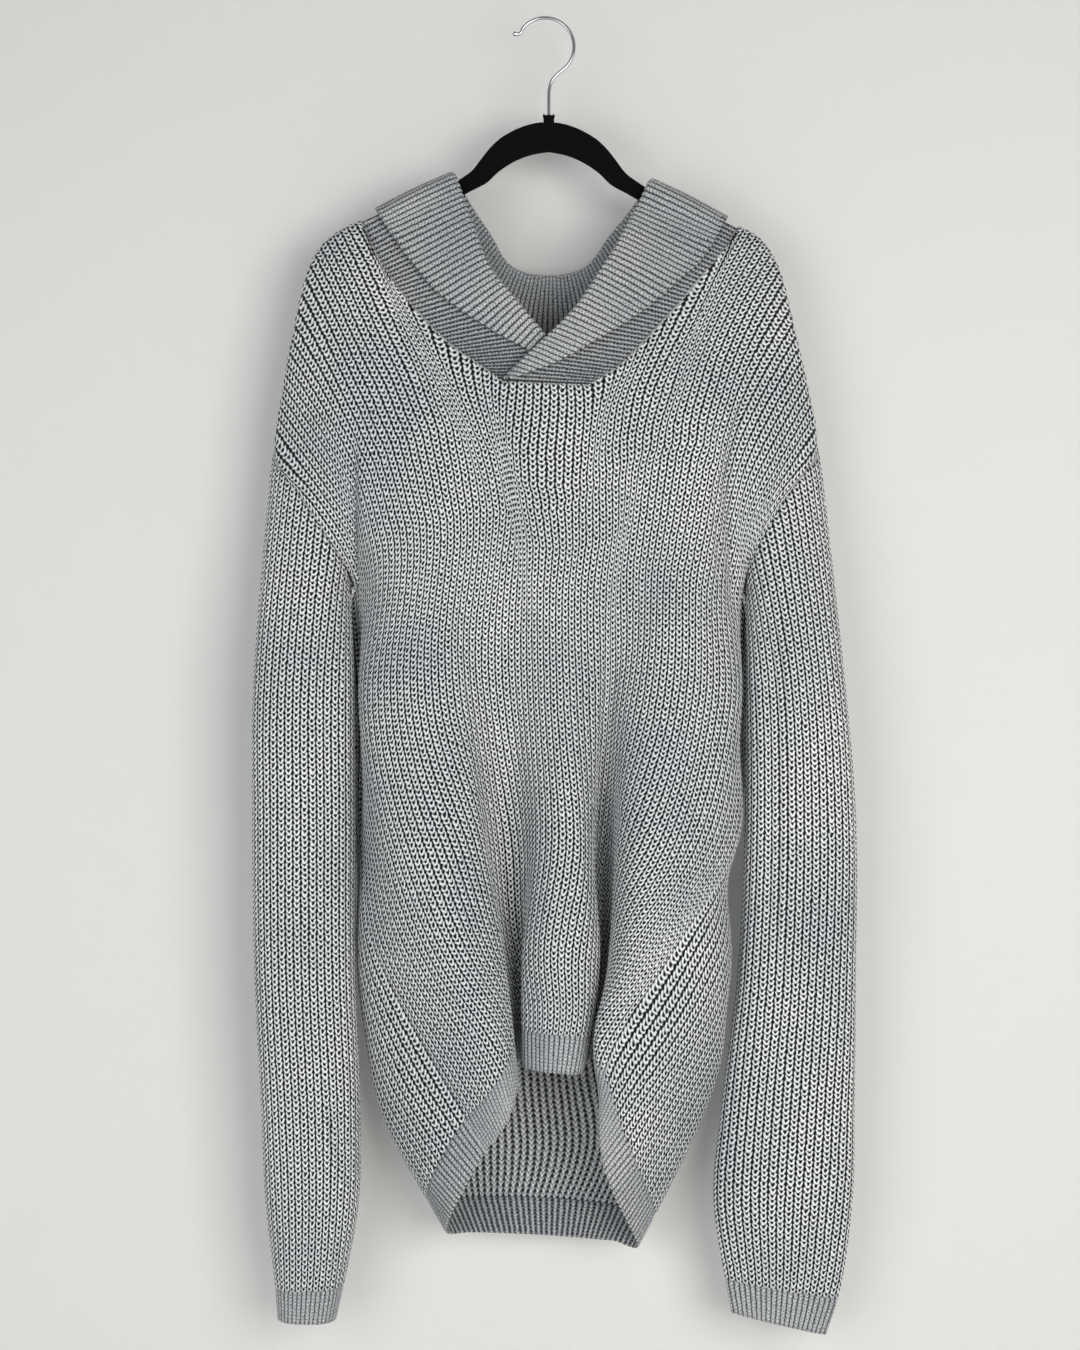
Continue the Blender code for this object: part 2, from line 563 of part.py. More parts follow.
def sleeve_sections(table, turn, share):
    """Oval sections, each from the outer side round through the front (or the back when turn is -1)."""
    angle = 2 * np.pi * turn * share
    rings = []
    for z_outer, z_inner, outer, inner, ahead, behind in table:
        across = 0.5 + 0.5 * np.sign(np.cos(angle)) * np.abs(np.cos(angle)) ** ROUNDNESS
        x = inner + (outer - inner) * across
        wide = np.sign(np.sin(angle)) * np.abs(np.sin(angle)) ** ROUNDNESS
        out = 0.5 * (ahead + behind) + 0.5 * (ahead - behind) * wide
        z = z_inner + (z_outer - z_inner) * across
        rings.append(np.stack([x, out, z], axis=-1))
    return np.array(rings)


def shares(points, count):
    """Places along a line (0 to 1 by length), its own points among them, about evenly apart."""
    steps = np.linalg.norm(np.diff(points, axis=0), axis=1)
    parts = np.maximum(1, np.round(steps / steps.sum() * count)).astype(int)
    parts[np.argmax(steps)] += count - parts.sum()
    ends = np.concatenate([[0.0], np.cumsum(steps)]) / steps.sum()
    return np.concatenate([np.linspace(a, b, part, endpoint=False) for a, b, part in zip(ends, ends[1:], parts)])


def sleeve(name, table, creases, ring, facing, turn, look, rib_look):
    """A sleeve from its armhole to its cuff, and the cuff."""

    def grid(share, rows):
        top, _ = on_line(ring, facing, share)
        lines = np.concatenate([top[None], sleeve_sections(table, turn, share)])
        surface = curve(SLEEVE_STATIONS, lines, rows).swapaxes(0, 1)
        front_half = surface[..., 1:2] > 4
        return np.where(front_half, press(surface.copy(), creases, -1, np.ones(len(share))), surface)

    def facings(share, rows):
        step = 0.004
        across = grid((share + step) % 1, rows) - grid((share - step) % 1, rows)
        down = grid(share, np.clip(np.add(rows, 0.01), 0, 1)) - grid(share, np.clip(np.subtract(rows, 0.01), 0, 1))
        return unit(np.cross(across, down))

    # seam normals at the armhole's own points, shared with the body where the two run on
    length = np.concatenate([[0.0], np.cumsum(np.linalg.norm(np.diff(ring, axis=0), axis=1))])
    own = facings(length / length[-1] % 1, SLEEVE_ROWS)[:, 0]
    agree = np.sum(own * facing, axis=1, keepdims=True)
    blend = ease((agree + 0.3) / 0.5)
    met = unit(own + facing)
    mine = unit(own * (1 - blend) + met * blend)
    facing[:] = unit(facing * (1 - blend) + met * blend)
    # under the arm the sleeve hangs beside the body, a wall and a gap away
    beside = -own * ease((0.6 - agree) / 1.2) * (BODY_WALL + 2 * BODY_RIDGE + SEAM_GAP)

    share = shares(ring, SLEEVE_COLUMNS)
    points = grid(share, SLEEVE_ROWS)
    normals = facings(share, SLEEVE_ROWS)
    normals[:, 0] = unit(on_line(ring, mine, share)[1])
    fade = ease(1 - np.array(SLEEVE_ROWS) / 0.3)
    points += on_line(ring, beside, share)[1][:, None] * fade[:, None]
    end = np.concatenate([points[:, -1], points[:1, -1]])
    open_seams(points, normals, closed=True, sides=False)
    points[:, 0] = retreat(points[:, 0], points[:, 1], normals[:, 0], closed=True, gap=0.25)
    half = BODY_WALL / 2
    outer = ridged(points, normals, half, BODY_RIDGE)
    outer[:, 0] = points[:, 0] + half * normals[:, 0]
    wall(name, outer, plain(points, normals, half), look, closed=True)

    length = np.concatenate([[0.0], np.cumsum(np.linalg.norm(np.diff(end, axis=0), axis=1))])
    even = np.linspace(0, length[-1], CUFF_RIBS * 2, endpoint=False)
    cuff_share = np.interp(even, length, np.append(share, 1.0))
    cuff = grid(cuff_share, (SLEEVE_ROWS[-1], 1.0))
    cuff_normals = facings(cuff_share, (SLEEVE_ROWS[-1], 1.0))
    cuff[:, 0] = on_line(end, end, even / length[-1])[0]
    cuff[:, 0] = retreat(cuff[:, 0], cuff[:, 1], cuff_normals[:, 0], closed=True)
    half = RIB_WALL / 2
    outer = ridged(cuff, cuff_normals, half, RIB_HEIGHT)
    wall(name.replace("sleeve", "cuff"), outer, plain(cuff, cuff_normals, half)[::2], rib_look, closed=True)
    return facing


def hem_band(name, panel, points, normals, wales, ribs, look):
    """A rib band from the panel's lower edge to the hem."""
    count = ribs * 2 + 1
    share = np.linspace(0, 1, count)
    top, top_facing = on_line(points[:, -1], normals[:, -1], share)
    length = np.concatenate([[0.0], np.cumsum(np.linalg.norm(np.diff(points[:, -1], axis=0), axis=1))])
    at = np.interp(share * length[-1], length, wales)
    bottom = panel.points(at, [1.0])[:, 0]
    bottom_facing = panel.normals(at, [1.0])[:, 0]
    surface = np.stack([top, bottom], axis=1)
    facing = np.stack([top_facing, bottom_facing], axis=1)
    return name, surface, facing, look


def build_band(name, surface, facing, look):
    surface[:, 0] = retreat(surface[:, 0], surface[:, 1], facing[:, 0], gap=0.45)
    for edge, inner in ((0, 1), (-1, -2)):
        surface[edge] = retreat(surface[edge], surface[inner], facing[edge])
    half = RIB_WALL / 2
    wall(name, ridged(surface, facing, half, RIB_HEIGHT, first=1), plain(surface, facing, half)[::2], look)


def collar_grid(neck_points, neck_facing, count):
    """The collar's middle surface: rib lines from the neckline, over the turned edge, to the leaf's edge."""
    marks = np.array([station[0] for station in COLLAR], float)
    length = np.concatenate([[0.0], np.cumsum(np.linalg.norm(np.diff(neck_points, axis=0), axis=1))])
    nearest = [length[np.argmin(np.linalg.norm(neck_points - mark, axis=1))] for mark in marks]
    nearest[0], nearest[-1] = 0.0, length[-1]
    turned = np.array([station[1] for station in COLLAR], float)
    leaf = np.array([station[2] for station in COLLAR], float)
    steps = np.linalg.norm(np.diff(turned, axis=0), axis=1)
    steps += np.diff(nearest)
    knots = np.concatenate([[0.0], np.cumsum(steps)])
    knots /= knots[-1]
    at = np.linspace(0, 1, count)
    place = curve(knots, np.array(nearest)[:, None], at)[:, 0]
    root, root_facing = on_line(neck_points, neck_facing, np.clip(place / length[-1], 0, 1))
    tuck = END_TUCK * ease(1 - (length[-1] - place) / TUCK_LENGTH)
    root[:, 1] -= tuck
    apex = curve(knots, turned, at)
    edge = curve(knots, leaf, at)
    rise = unit(apex - root)
    way = np.gradient(apex, axis=0)
    outward = unit(np.cross(rise, way))
    turn_in = apex - FOLD_RADIUS * rise - FOLD_RADIUS * outward
    turn_out = apex - FOLD_RADIUS * rise + FOLD_RADIUS * outward
    half_way = 0.5 * (root + turn_in)
    side = FOLD_RADIUS * math.sqrt(0.5)
    corner_in = apex + (side - FOLD_RADIUS) * rise - side * outward
    corner_out = apex + (side - FOLD_RADIUS) * rise + side * outward
    # the leaf keeps clear of the stand it lies over
    stand = root[:, None] + np.linspace(0, 1, 9)[None, :, None] * (turn_in - root)[:, None]
    leaf_middle = lie_over(0.5 * (turn_out + edge), stand, outward)
    edge = lie_over(edge, stand, outward)
    surface = np.stack([root, half_way, turn_in, corner_in, corner_out, turn_out, leaf_middle, edge], axis=1)
    return surface, root_facing


def lie_over(points, under, outward):
    """One line of points, each moved out until it is LEAF_STANDS_OFF from the sheet under it."""
    moved = points.copy()
    window = len(points) // 4
    for column, point in enumerate(points):
        first = max(0, column - window)
        near = under[first : column + window]
        place = np.unravel_index(np.argmin(np.linalg.norm(near - point, axis=2)), near.shape[:2])
        facing = outward[first + place[0]]
        short = LEAF_STANDS_OFF - np.dot(point - near[place], facing)
        moved[column] += max(short, 0.0) * facing
    return moved


def collar(neck_points, neck_facing, look):
    surface, root_facing = collar_grid(neck_points, neck_facing, COLLAR_RIBS * 2 + 1)
    across = np.gradient(surface, axis=0)
    down = np.gradient(surface, axis=1)
    normals = unit(np.cross(across, down))
    normals[:, 0] = -unit(root_facing)
    near_arm = ease(1 - np.abs(surface[:, 0, 1]) / 32)
    surface[:, 0] = retreat(surface[:, 0], surface[:, 1], normals[:, 0], gap=SEAM_GAP / 2 + 0.6 * near_arm)
    for edge, inner in ((0, 1), (-1, -2)):
        surface[edge] = retreat(surface[edge], surface[inner], normals[edge], gap=0.5)
    half = RIB_WALL / 2
    columns = np.arange(len(surface))
    # finer where the collar bends: over the arms, round the back and at its lapped ends
    bent = (surface[:, 0, 1] < 24) | (np.abs(columns - columns[-1] / 2) > columns[-1] / 2 - 16)
    crest = np.abs(surface[:, 0, 1]) < 12
    lining = (columns % COLLAR_LINING_STEP == 0) | (bent & (columns % (COLLAR_LINING_STEP // 2) == 0)) | crest
    outer = ridged(surface, normals, half, RIB_HEIGHT, first=1)
    outer[:, 0] = surface[:, 0] + half * normals[:, 0]
    wall("collar", outer, plain(surface, normals, half)[lining], look, inner_at=columns[lining])


def hanger_body(look):
    """The flat hanger: its half outline mirrored and extruded, its edges rounded, its boss on top."""
    right = [(x, top) for x, top, _ in HANGER_HALF] + [(x, low) for x, _, low in HANGER_HALF[::-1]]
    left = [(-x, z) for x, z in right[::-1] if x > 0]
    boss = [(-BOSS_RADIUS, HANGER_HALF[0][1] - 1), (-BOSS_RADIUS, BOSS_TOP + 2), (-BOSS_RADIUS + 2, BOSS_TOP)]
    boss += [(-x, z) for x, z in boss[::-1]]
    top_right = [point for point in right[: len(HANGER_HALF)] if point[0] > BOSS_RADIUS]
    bottom = right[len(HANGER_HALF) :] + [point for point in left if point[1] < profile_middle(-point[0])]
    top_left = [point for point in left if point[1] >= profile_middle(-point[0]) and point[0] < -BOSS_RADIUS]
    outline = boss + top_right + bottom + top_left
    mesh = bmesh.new()
    drop = math.tan(HANGER_TILT)
    ring = [mesh.verts.new((x + HANGER_MIDDLE, -HANGER_THICKNESS / 2, z - x * drop)) for x, z in outline]
    face = mesh.faces.new(ring)
    grown = bmesh.ops.extrude_face_region(mesh, geom=[face])
    moved = [item for item in grown["geom"] if isinstance(item, bmesh.types.BMVert)]
    bmesh.ops.translate(mesh, verts=moved, vec=(0, HANGER_THICKNESS, 0))
    bmesh.ops.recalc_face_normals(mesh, faces=mesh.faces)
    rim = [edge for edge in mesh.edges if abs(edge.verts[0].co.y - edge.verts[1].co.y) < 1e-6]
    bmesh.ops.bevel(mesh, geom=rim, offset=1.3, segments=1, profile=0.5, affect="EDGES", material=-1)
    return finish("hanger_body", mesh, look)


def profile_middle(x):
    """Half way between the hanger's top and bottom edges at a distance x from its middle."""
    table = np.array(HANGER_HALF)
    return float(np.interp(x, table[:, 0], 0.5 * (table[:, 1] + table[:, 2])))


def hanger_hook(look):
    """The bent wire, a curve with a round bevel, swelling to a ball at its tip."""
    angles = np.radians(np.arange(HOOK_START, HOOK_END - 1, -12.0))
    top = WIRE / 2 - HOOK_RADIUS
    arc = [(HOOK_RADIUS * math.cos(a), top + HOOK_RADIUS * math.sin(a)) for a in angles]
    path = np.array(list(TIP) + arc + list(NECK), float)
    length = np.concatenate([[0.0], np.cumsum(np.linalg.norm(np.diff(path, axis=0), axis=1))])
    at = np.concatenate([[0.0, 0.5, 1.4, 2.4, 3.3], np.arange(5.0, length[-1] - 3, 6.0), [length[-1]]])
    fine = curve(length, path, at)
    swell = np.interp(at, [0.0, 0.5, 1.4, 2.4, 3.3, 5.0], [0.35, 0.95, 1.4, 1.45, 1.2, 1.0])
    data = bpy.data.curves.new("hanger_hook", "CURVE")
    data.dimensions = "3D"
    data.bevel_depth = WIRE / 2 * MM
    data.bevel_resolution = 2
    data.use_fill_caps = True
    spline = data.splines.new("POLY")
    spline.points.add(len(fine) - 1)
    for point, (x, z), grow in zip(spline.points, fine, swell):
        point.co = (x * MM, 0.0, z * MM, 1.0)
        point.radius = grow
    data.materials.append(look)
    made = bpy.data.objects.new("hanger_hook", data)
    bpy.context.scene.collection.objects.link(made)
    return made


knit = material("marled shaker knit", (0.33, 0.34, 0.345), 0.9)
fine_rib = material("marled fine rib", (0.36, 0.37, 0.375), 0.9)
flock = material("black flock", (0.008, 0.008, 0.01), 0.95)
chrome = material("bright chromed wire", (0.62, 0.62, 0.63), 0.15, 1.0)

below_arm = PANEL_ROWS.index(UNDERARM) + 1
for name, table, creases, side, far, turn in (
    ("sleeve_left", SLEEVE_LEFT, SLEEVE_LEFT_CREASES, 0, -1, 1),
    ("sleeve_right", SLEEVE_RIGHT, SLEEVE_RIGHT_CREASES, -1, 0, -1),
):
    lines = [front_points[side, :below_arm], back_points[far, :below_arm]]
    facings = [front_normals[side, :below_arm], back_normals[far, :below_arm]]
    ring = np.concatenate([lines[turn < 0], lines[turn > 0][-2::-1]])
    facing = np.concatenate([facings[turn < 0], facings[turn > 0][-2::-1]])
    facing = sleeve(name, table, creases, ring, facing, turn, knit, fine_rib)
    facings[turn < 0][:] = facing[:below_arm]
    facings[turn > 0][:] = facing[below_arm - 1 :][::-1]

front_band = hem_band("hem_band_front", front_panel, front_points, front_normals, columns, 78, fine_rib)
back_band = hem_band("hem_band_back", back_panel, back_points, back_normals, columns[::-1], 78, fine_rib)
for side, far in ((0, -1), (-1, 0)):
    met = unit(front_band[2][side] + back_band[2][far])
    front_band[2][side] = met
    back_band[2][far] = met
build_band(*front_band)
build_band(*back_band)

# The neckline from the front's right corner up, round the back and down to its left corner
neck = SIDE_COLUMNS
corner = neck + len(SLOPE_COLUMNS) - 1
last = len(columns) - 1


def neckline(front, back):
    """The neckline's points, from the crest over each arm down the front and the back."""
    right = front[last - corner : last - neck + 1, 1]
    left = front[neck : corner + 1, 1]
    return np.concatenate([right, front[last - neck, :1], back[neck : last - neck + 1, 1], front[neck, :1], left])


neck_points = neckline(front_points, back_points)
neck_facing = neckline(front_normals, back_normals)
collar(neck_points, neck_facing, fine_rib)

for points, normals in ((front_points, front_normals), (back_points, back_normals)):
    middle = slice(neck + 1, last - neck)
    low = [neck, *range(neck, last - neck + 1), last - neck]
    rows = [0] + [1] * (last - 2 * neck + 1) + [0]
    under = [2] * len(low)
    points[low, rows] = retreat(points[low, rows], points[low, under] + (0, 0, -30), normals[low, rows])
    points[middle, 0] = points[middle, 1]
    for shoulder in (slice(0, neck + 1), slice(last - neck, last + 1)):
        points[shoulder, 0] = retreat(points[shoulder, 0], points[shoulder, 1], normals[shoulder, 0])
    points[:, -1] = retreat(points[:, -1], points[:, -2], normals[:, -1])
    points[0] = retreat(points[0], points[1], normals[0])
    points[-1] = retreat(points[-1], points[-2], normals[-1])
half_wall = BODY_WALL / 2
cells = [(column, row) for column in range(len(columns) - 1) for row in range(len(PANEL_ROWS))]
stepped = [cell for cell in cells if cell[1] > 0 or not neck <= cell[0] < len(columns) - 1 - neck]
for name, points, normals in (("front", front_points, front_normals), ("back", back_points, back_normals)):
    outer = ridged(points, normals, half_wall, BODY_RIDGE, flat=(0, -1))
    # the ridges end at the seam with the hem band
    outer[:, -1] = points[:, -1] + half_wall * normals[:, -1]
    panel_wall(name, outer, plain(points, normals, half_wall), knit, stepped)

hanger_body(flock)
hanger_hook(chrome)
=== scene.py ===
# A tunic sweater in marled shaker rib, hung by its shoulders on a slim flocked hanger.
# Tables are in millimetres: across, out towards the front, up. The finished meshes are in metres.
import math

import bmesh
import bpy
import numpy as np
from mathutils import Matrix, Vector


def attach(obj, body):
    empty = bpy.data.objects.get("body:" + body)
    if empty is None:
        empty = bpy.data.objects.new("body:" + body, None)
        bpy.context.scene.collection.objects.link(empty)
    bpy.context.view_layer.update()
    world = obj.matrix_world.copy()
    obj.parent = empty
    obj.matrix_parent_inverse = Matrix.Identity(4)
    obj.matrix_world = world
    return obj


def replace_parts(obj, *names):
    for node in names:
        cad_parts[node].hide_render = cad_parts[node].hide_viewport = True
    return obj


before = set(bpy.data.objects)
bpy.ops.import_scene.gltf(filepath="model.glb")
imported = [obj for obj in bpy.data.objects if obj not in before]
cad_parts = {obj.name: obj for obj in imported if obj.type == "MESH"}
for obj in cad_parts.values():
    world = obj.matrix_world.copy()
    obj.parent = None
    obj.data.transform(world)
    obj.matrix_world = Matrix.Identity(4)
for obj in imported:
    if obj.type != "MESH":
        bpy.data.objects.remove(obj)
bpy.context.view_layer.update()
mm = 0.001


def linearColour(code):
    values = [int(code[k : k + 2], 16) / 255 for k in (1, 3, 5)]
    return tuple(v / 12.92 if v <= 0.04045 else ((v + 0.055) / 1.055) ** 2.4 for v in values)


def opaque(code):
    return (*linearColour(code), 1)


def addObject(name, data):
    made = bpy.data.objects.new(name, data)
    bpy.context.scene.collection.objects.link(made)
    return made


# The camera stands level with the sweater's middle and looks straight at it
cameraSettings = {
    "distance": 2.0,
    "across": -0.0046,
    "up": -0.603,
    "frameHeight": 1.242,
    "sensor": 36.0,
}
camera = addObject("camera", bpy.data.cameras.new("camera"))
camera.data.sensor_width = cameraSettings["sensor"]
camera.data.lens = cameraSettings["sensor"] * cameraSettings["distance"] / cameraSettings["frameHeight"]
camera.location = (cameraSettings["across"], -cameraSettings["distance"], cameraSettings["up"])
camera.rotation_euler = (math.radians(90), 0, 0)
bpy.context.scene.camera = camera

# Soft studio light: a broad source on each side, the right one stronger, a weak one behind for the
# back of the sweater, and a pale room
lights = {
    "window": {"size": 1.3, "power": 26.0, "place": (0.95, -2.0, -0.5), "colour": "#fffdfa"},
    "side": {"size": 1.3, "power": 14.5, "place": (-1.05, -2.0, -0.65), "colour": "#fbfcff"},
    "behind": {"size": 1.6, "power": 14.0, "place": (0.4, 2.2, -0.2), "colour": "#fbfcff"},
}
roomLight = {"colour": "#eff1f4", "strength": 0.25}


def areaLight(name, settings):
    lamp = addObject(name, bpy.data.lights.new(name, "AREA"))
    lamp.data.size = settings["size"]
    lamp.data.energy = settings["power"]
    lamp.data.color = linearColour(settings["colour"])
    lamp.location = settings["place"]
    away = lamp.location - Vector((0, 0, cameraSettings["up"]))
    lamp.rotation_euler = away.to_track_quat("Z", "Y").to_euler()


for lampName, lampSettings in lights.items():
    areaLight(lampName, lampSettings)
world = bpy.data.worlds.new("studio")
world.use_nodes = True
background = world.node_tree.nodes["Background"].inputs
background["Color"].default_value = opaque(roomLight["colour"])
background["Strength"].default_value = roomLight["strength"]
bpy.context.scene.world = world
bpy.context.scene.view_settings.view_transform = "Standard"
print("camera and light ready")


# Materials: surface holds values under the shader's own names
def newMaterial(name, surface):
    made = bpy.data.materials.new(name)
    made.use_nodes = True
    shader = made.node_tree.nodes["Principled BSDF"]
    for socket, value in surface.items():
        shader.inputs[socket].default_value = value
    return made, made.node_tree, shader


def addNode(tree, kind, links=(), **settings):
    node = tree.nodes.new(kind)
    for key, value in settings.items():
        setattr(node, key, value)
    for socket, value in dict(links).items():
        if isinstance(value, bpy.types.NodeSocket):
            tree.links.new(value, node.inputs[socket])
        else:
            node.inputs[socket].default_value = value
    return node.outputs[0]


def objectNoise(tree, scale, detail):
    where = tree.nodes.new("ShaderNodeTexCoord").outputs["Object"]
    return addNode(tree, "ShaderNodeTexNoise", {"Vector": where, "Scale": scale, "Detail": detail})


def toneRamp(tree, value, codes, low=0.0, high=1.0):
    # evenly spaced tones between two values
    ramp = tree.nodes.new("ShaderNodeValToRGB")
    stops = ramp.color_ramp.elements
    stops.remove(stops[1])
    stops[0].position = low
    stops[0].color = opaque(codes[0])
    for step, code in enumerate(codes[1:], 1):
        stops.new(low + (high - low) * step / (len(codes) - 1)).color = opaque(code)
    tree.links.new(value, ramp.inputs[0])
    return ramp.outputs[0]


def addBump(tree, shader, height, distance, strength):
    sockets = {"Height": height, "Distance": distance * mm, "Strength": strength}
    tree.links.new(addNode(tree, "ShaderNodeBump", sockets), shader.inputs["Normal"])


# Marled cotton yarn, machine knitted. The legs of the stitches are nearly white, and holes are stacked
# between the wales and, half a course later, between the two legs of each wale; the colour is near black in
# these holes: painted shade
shakerKnit = {
    "tones": ("#0b0c0f", "#46484c", "#8b8d90", "#c6c8c8", "#f6f7f5"),
    "middle": 0.46,
    "contrast": 3.0,
    "lines": 0.18,  # lines on both sides of each leg: grooves in the bump, painted shade in the colour
    "holes": 0.16,
    "courses": 0.14,
    "furrows": 0.11,
    "slant": -0.9,  # how many courses a leg leans over
    "fleck": 0.42,
    "relief": 0.7,
    # bluish multiplier for the random patches of painted shade
    "paintedShadeTint": "#a9b6c4",
}
# the fine rib's furrows, and faintly its holes and lines, are darkened in the colour as painted shade
fineRibKnit = {
    "tones": ("#17181b", "#4a4c50", "#86888b", "#b9bbbb", "#e6e7e5"),
    "middle": 0.53,
    "contrast": 1.9,
    "lines": 0.04,
    "holes": 0.03,
    "courses": 0.06,
    "furrows": 0.17,
    "slant": -0.6,
    "fleck": 0.7,
    "relief": 0.5,
    # bluish multiplier for the random patches of painted shade
    "paintedShadeTint": "#a6b2bf",
}

# the inner face shows the backs of the stitches: plain ribs with softer holes and softer painted shade in
# them
insideKnit = {**shakerKnit, "middle": 0.6, "contrast": 1.6, "lines": 0.06, "holes": 0.08, "furrows": 0.2}

# what the three knits share
knitPattern = {
    "wanderScale": 0.8,
    "waleWander": 0.25,
    "courseWander": 0.6,
    "flecksAcross": 1.3,
    "fleckScale": 4.2,
    # size and threshold of the random patches of painted shade
    "shadeTintScale": 9.0,
    "shadeTintFloor": 0.3,
    "surface": {
        "Roughness": 0.88,
        "Sheen Weight": 0.08,
        "Sheen Roughness": 0.6,
        "Specular IOR Level": 0.2,
    },
}


def knitMaterial(name, settings):
    made, tree, shader = newMaterial(name, knitPattern["surface"])

    def maths(operation, *values, clamp=False):
        return addNode(tree, "ShaderNodeMath", enumerate(values), operation=operation, use_clamp=clamp)

    def wave(cycles):
        return maths("COSINE", maths("MULTIPLY", cycles, 2 * math.pi))

    def clothNoise(place, scale, detail):
        # runs from -0.5 to 0.5
        sockets = {"Vector": place, "Scale": scale, "Detail": detail}
        return maths("SUBTRACT", addNode(tree, "ShaderNodeTexNoise", sockets, noise_dimensions="2D"), 0.5)

    # the UV map counts wales across and courses up
    place = addNode(tree, "ShaderNodeUVMap", uv_map="wales and courses")
    split = tree.nodes.new("ShaderNodeSeparateXYZ")
    tree.links.new(place, split.inputs[0])
    stray = clothNoise(place, knitPattern["wanderScale"], 1.0)
    wale = maths("MULTIPLY_ADD", stray, knitPattern["waleWander"], split.outputs["X"])
    course = maths("MULTIPLY_ADD", stray, knitPattern["courseWander"], split.outputs["Y"])
    side = maths("MULTIPLY", maths("ABSOLUTE", maths("SUBTRACT", maths("FRACT", wale), 0.5)), 2.0)
    lean = maths("MULTIPLY_ADD", side, settings["slant"], course)
    furrow = wave(wale)
    parts = (
        (wave(maths("MULTIPLY", wale, 2.0)), -settings["lines"]),
        (maths("MULTIPLY", furrow, wave(course)), -settings["holes"]),
        (wave(lean), settings["courses"]),
        (furrow, -settings["furrows"]),
    )
    # one height makes the bump and, through the tones, the colour: dark where it is low, in holes, lines and
    # furrows, as painted shade
    height = settings["middle"]
    for part, weight in parts:
        height = maths("MULTIPLY_ADD", part, weight, height)

    # short flecks of the two strands, drawn out along the yarn
    stretch = {"X": maths("MULTIPLY", wale, knitPattern["flecksAcross"]), "Y": lean}
    fleck = clothNoise(addNode(tree, "ShaderNodeCombineXYZ", stretch), knitPattern["fleckScale"], 2.0)
    flecksAndPaintedShade = maths("MULTIPLY_ADD", fleck, settings["fleck"], height)
    # contrast stretches the flecks and the painted shade away from the middle tone
    spread = maths("SUBTRACT", flecksAndPaintedShade, settings["middle"])
    flecksAndPaintedShade = maths("MULTIPLY_ADD", spread, settings["contrast"], settings["middle"])

    # bluish patches a hand wide, at random places: painted shade, the cool cast of shaded knit
    shadeTintPatch = objectNoise(tree, knitPattern["shadeTintScale"], 3.0)
    shadeTintMix = tree.nodes.new("ShaderNodeMix")
    shadeTintMix.data_type = "RGBA"
    shadeTintMix.blend_type = "MULTIPLY"
    tree.links.new(maths("SUBTRACT", shadeTintPatch, knitPattern["shadeTintFloor"], clamp=True), shadeTintMix.inputs[0])
    tree.links.new(toneRamp(tree, flecksAndPaintedShade, settings["tones"]), shadeTintMix.inputs[6])
    shadeTintMix.inputs[7].default_value = opaque(settings["paintedShadeTint"])
    tree.links.new(shadeTintMix.outputs[2], shader.inputs["Base Color"])
    addBump(tree, shader, height, settings["relief"], 1.0)
    return made


# nylon flock on a moulded hanger: a soft black nap that only lightens at its edges
flock = {
    "tones": ("#020203", "#0a0a0c"),
    "napScale": 1400.0,
    "napHeight": 0.4,
    "napStrength": 0.6,
    "surface": {"Roughness": 0.95, "Specular IOR Level": 0.15, "Sheen Weight": 0.03},
}


def flockMaterial():
    made, tree, shader = newMaterial("black nylon flock", flock["surface"])
    nap = objectNoise(tree, flock["napScale"], 2.0)
    tree.links.new(toneRamp(tree, nap, flock["tones"]), shader.inputs["Base Color"])
    addBump(tree, shader, nap, flock["napHeight"], flock["napStrength"])
    return made


# polished steel wire with bright chrome plating, lightly rubbed by rails
chrome = {
    "rubScale": 260.0,
    "roughness": (0.1, 0.26),
    "surface": {"Base Color": opaque("#c9cbce"), "Metallic": 1.0},
}


def chromeMaterial():
    made, tree, shader = newMaterial("bright chromed wire", chrome["surface"])
    rub = objectNoise(tree, chrome["rubScale"], 3.0)
    low, high = chrome["roughness"]
    spread = addNode(tree, "ShaderNodeMapRange", {"Value": rub, "To Min": low, "To Max": high})
    tree.links.new(spread, shader.inputs["Roughness"])
    return made


# matt wall paint over plaster: nearly white, with a faint roller grain
paint = {
    "grainScale": 320.0,
    "grainHeight": 0.3,
    "grainStrength": 0.15,
    "surface": {"Base Color": opaque("#e9e9e6"), "Roughness": 0.9},
}


def paintMaterial():
    made, tree, shader = newMaterial("pale matt wall paint", paint["surface"])
    grain = objectNoise(tree, paint["grainScale"], 2.0)
    addBump(tree, shader, grain, paint["grainHeight"], paint["grainStrength"])
    # the wall is in the way neither of a view from behind nor of the light there
    away = tree.nodes.new("ShaderNodeNewGeometry").outputs["Backfacing"]
    shade = tree.nodes.new("ShaderNodeLightPath").outputs["Is Shadow Ray"]
    either = addNode(tree, "ShaderNodeMath", {0: away, 1: shade}, operation="MAXIMUM")
    clear = addNode(tree, "ShaderNodeBsdfTransparent")
    shown = addNode(tree, "ShaderNodeMixShader", {0: either, 1: shader.outputs[0], 2: clear})
    tree.links.new(shown, tree.nodes["Material Output"].inputs["Surface"])
    return made


# the same marled yarn as a single strand, so it shows only its flecks
yarn = {
    "tones": ("#85888a", "#dcdddb"),
    "toneSpan": (0.35, 0.7),
    "fleckScale": 700.0,
    "surface": {"Roughness": 0.9, "Specular IOR Level": 0.25},
}


def yarnMaterial():
    made, tree, shader = newMaterial("marled linking yarn", yarn["surface"])
    fleck = objectNoise(tree, yarn["fleckScale"], 2.0)
    tree.links.new(toneRamp(tree, fleck, yarn["tones"], *yarn["toneSpan"]), shader.inputs["Base Color"])
    return made


shakerMade = knitMaterial("marled shaker knit", shakerKnit)
insideMade = knitMaterial("marled shaker knit from inside", insideKnit)
fineRibMade = knitMaterial("marled fine rib knit", fineRibKnit)
flockMade = flockMaterial()
chromeMade = chromeMaterial()
paintMade = paintMaterial()
yarnMade = yarnMaterial()
print("materials ready")


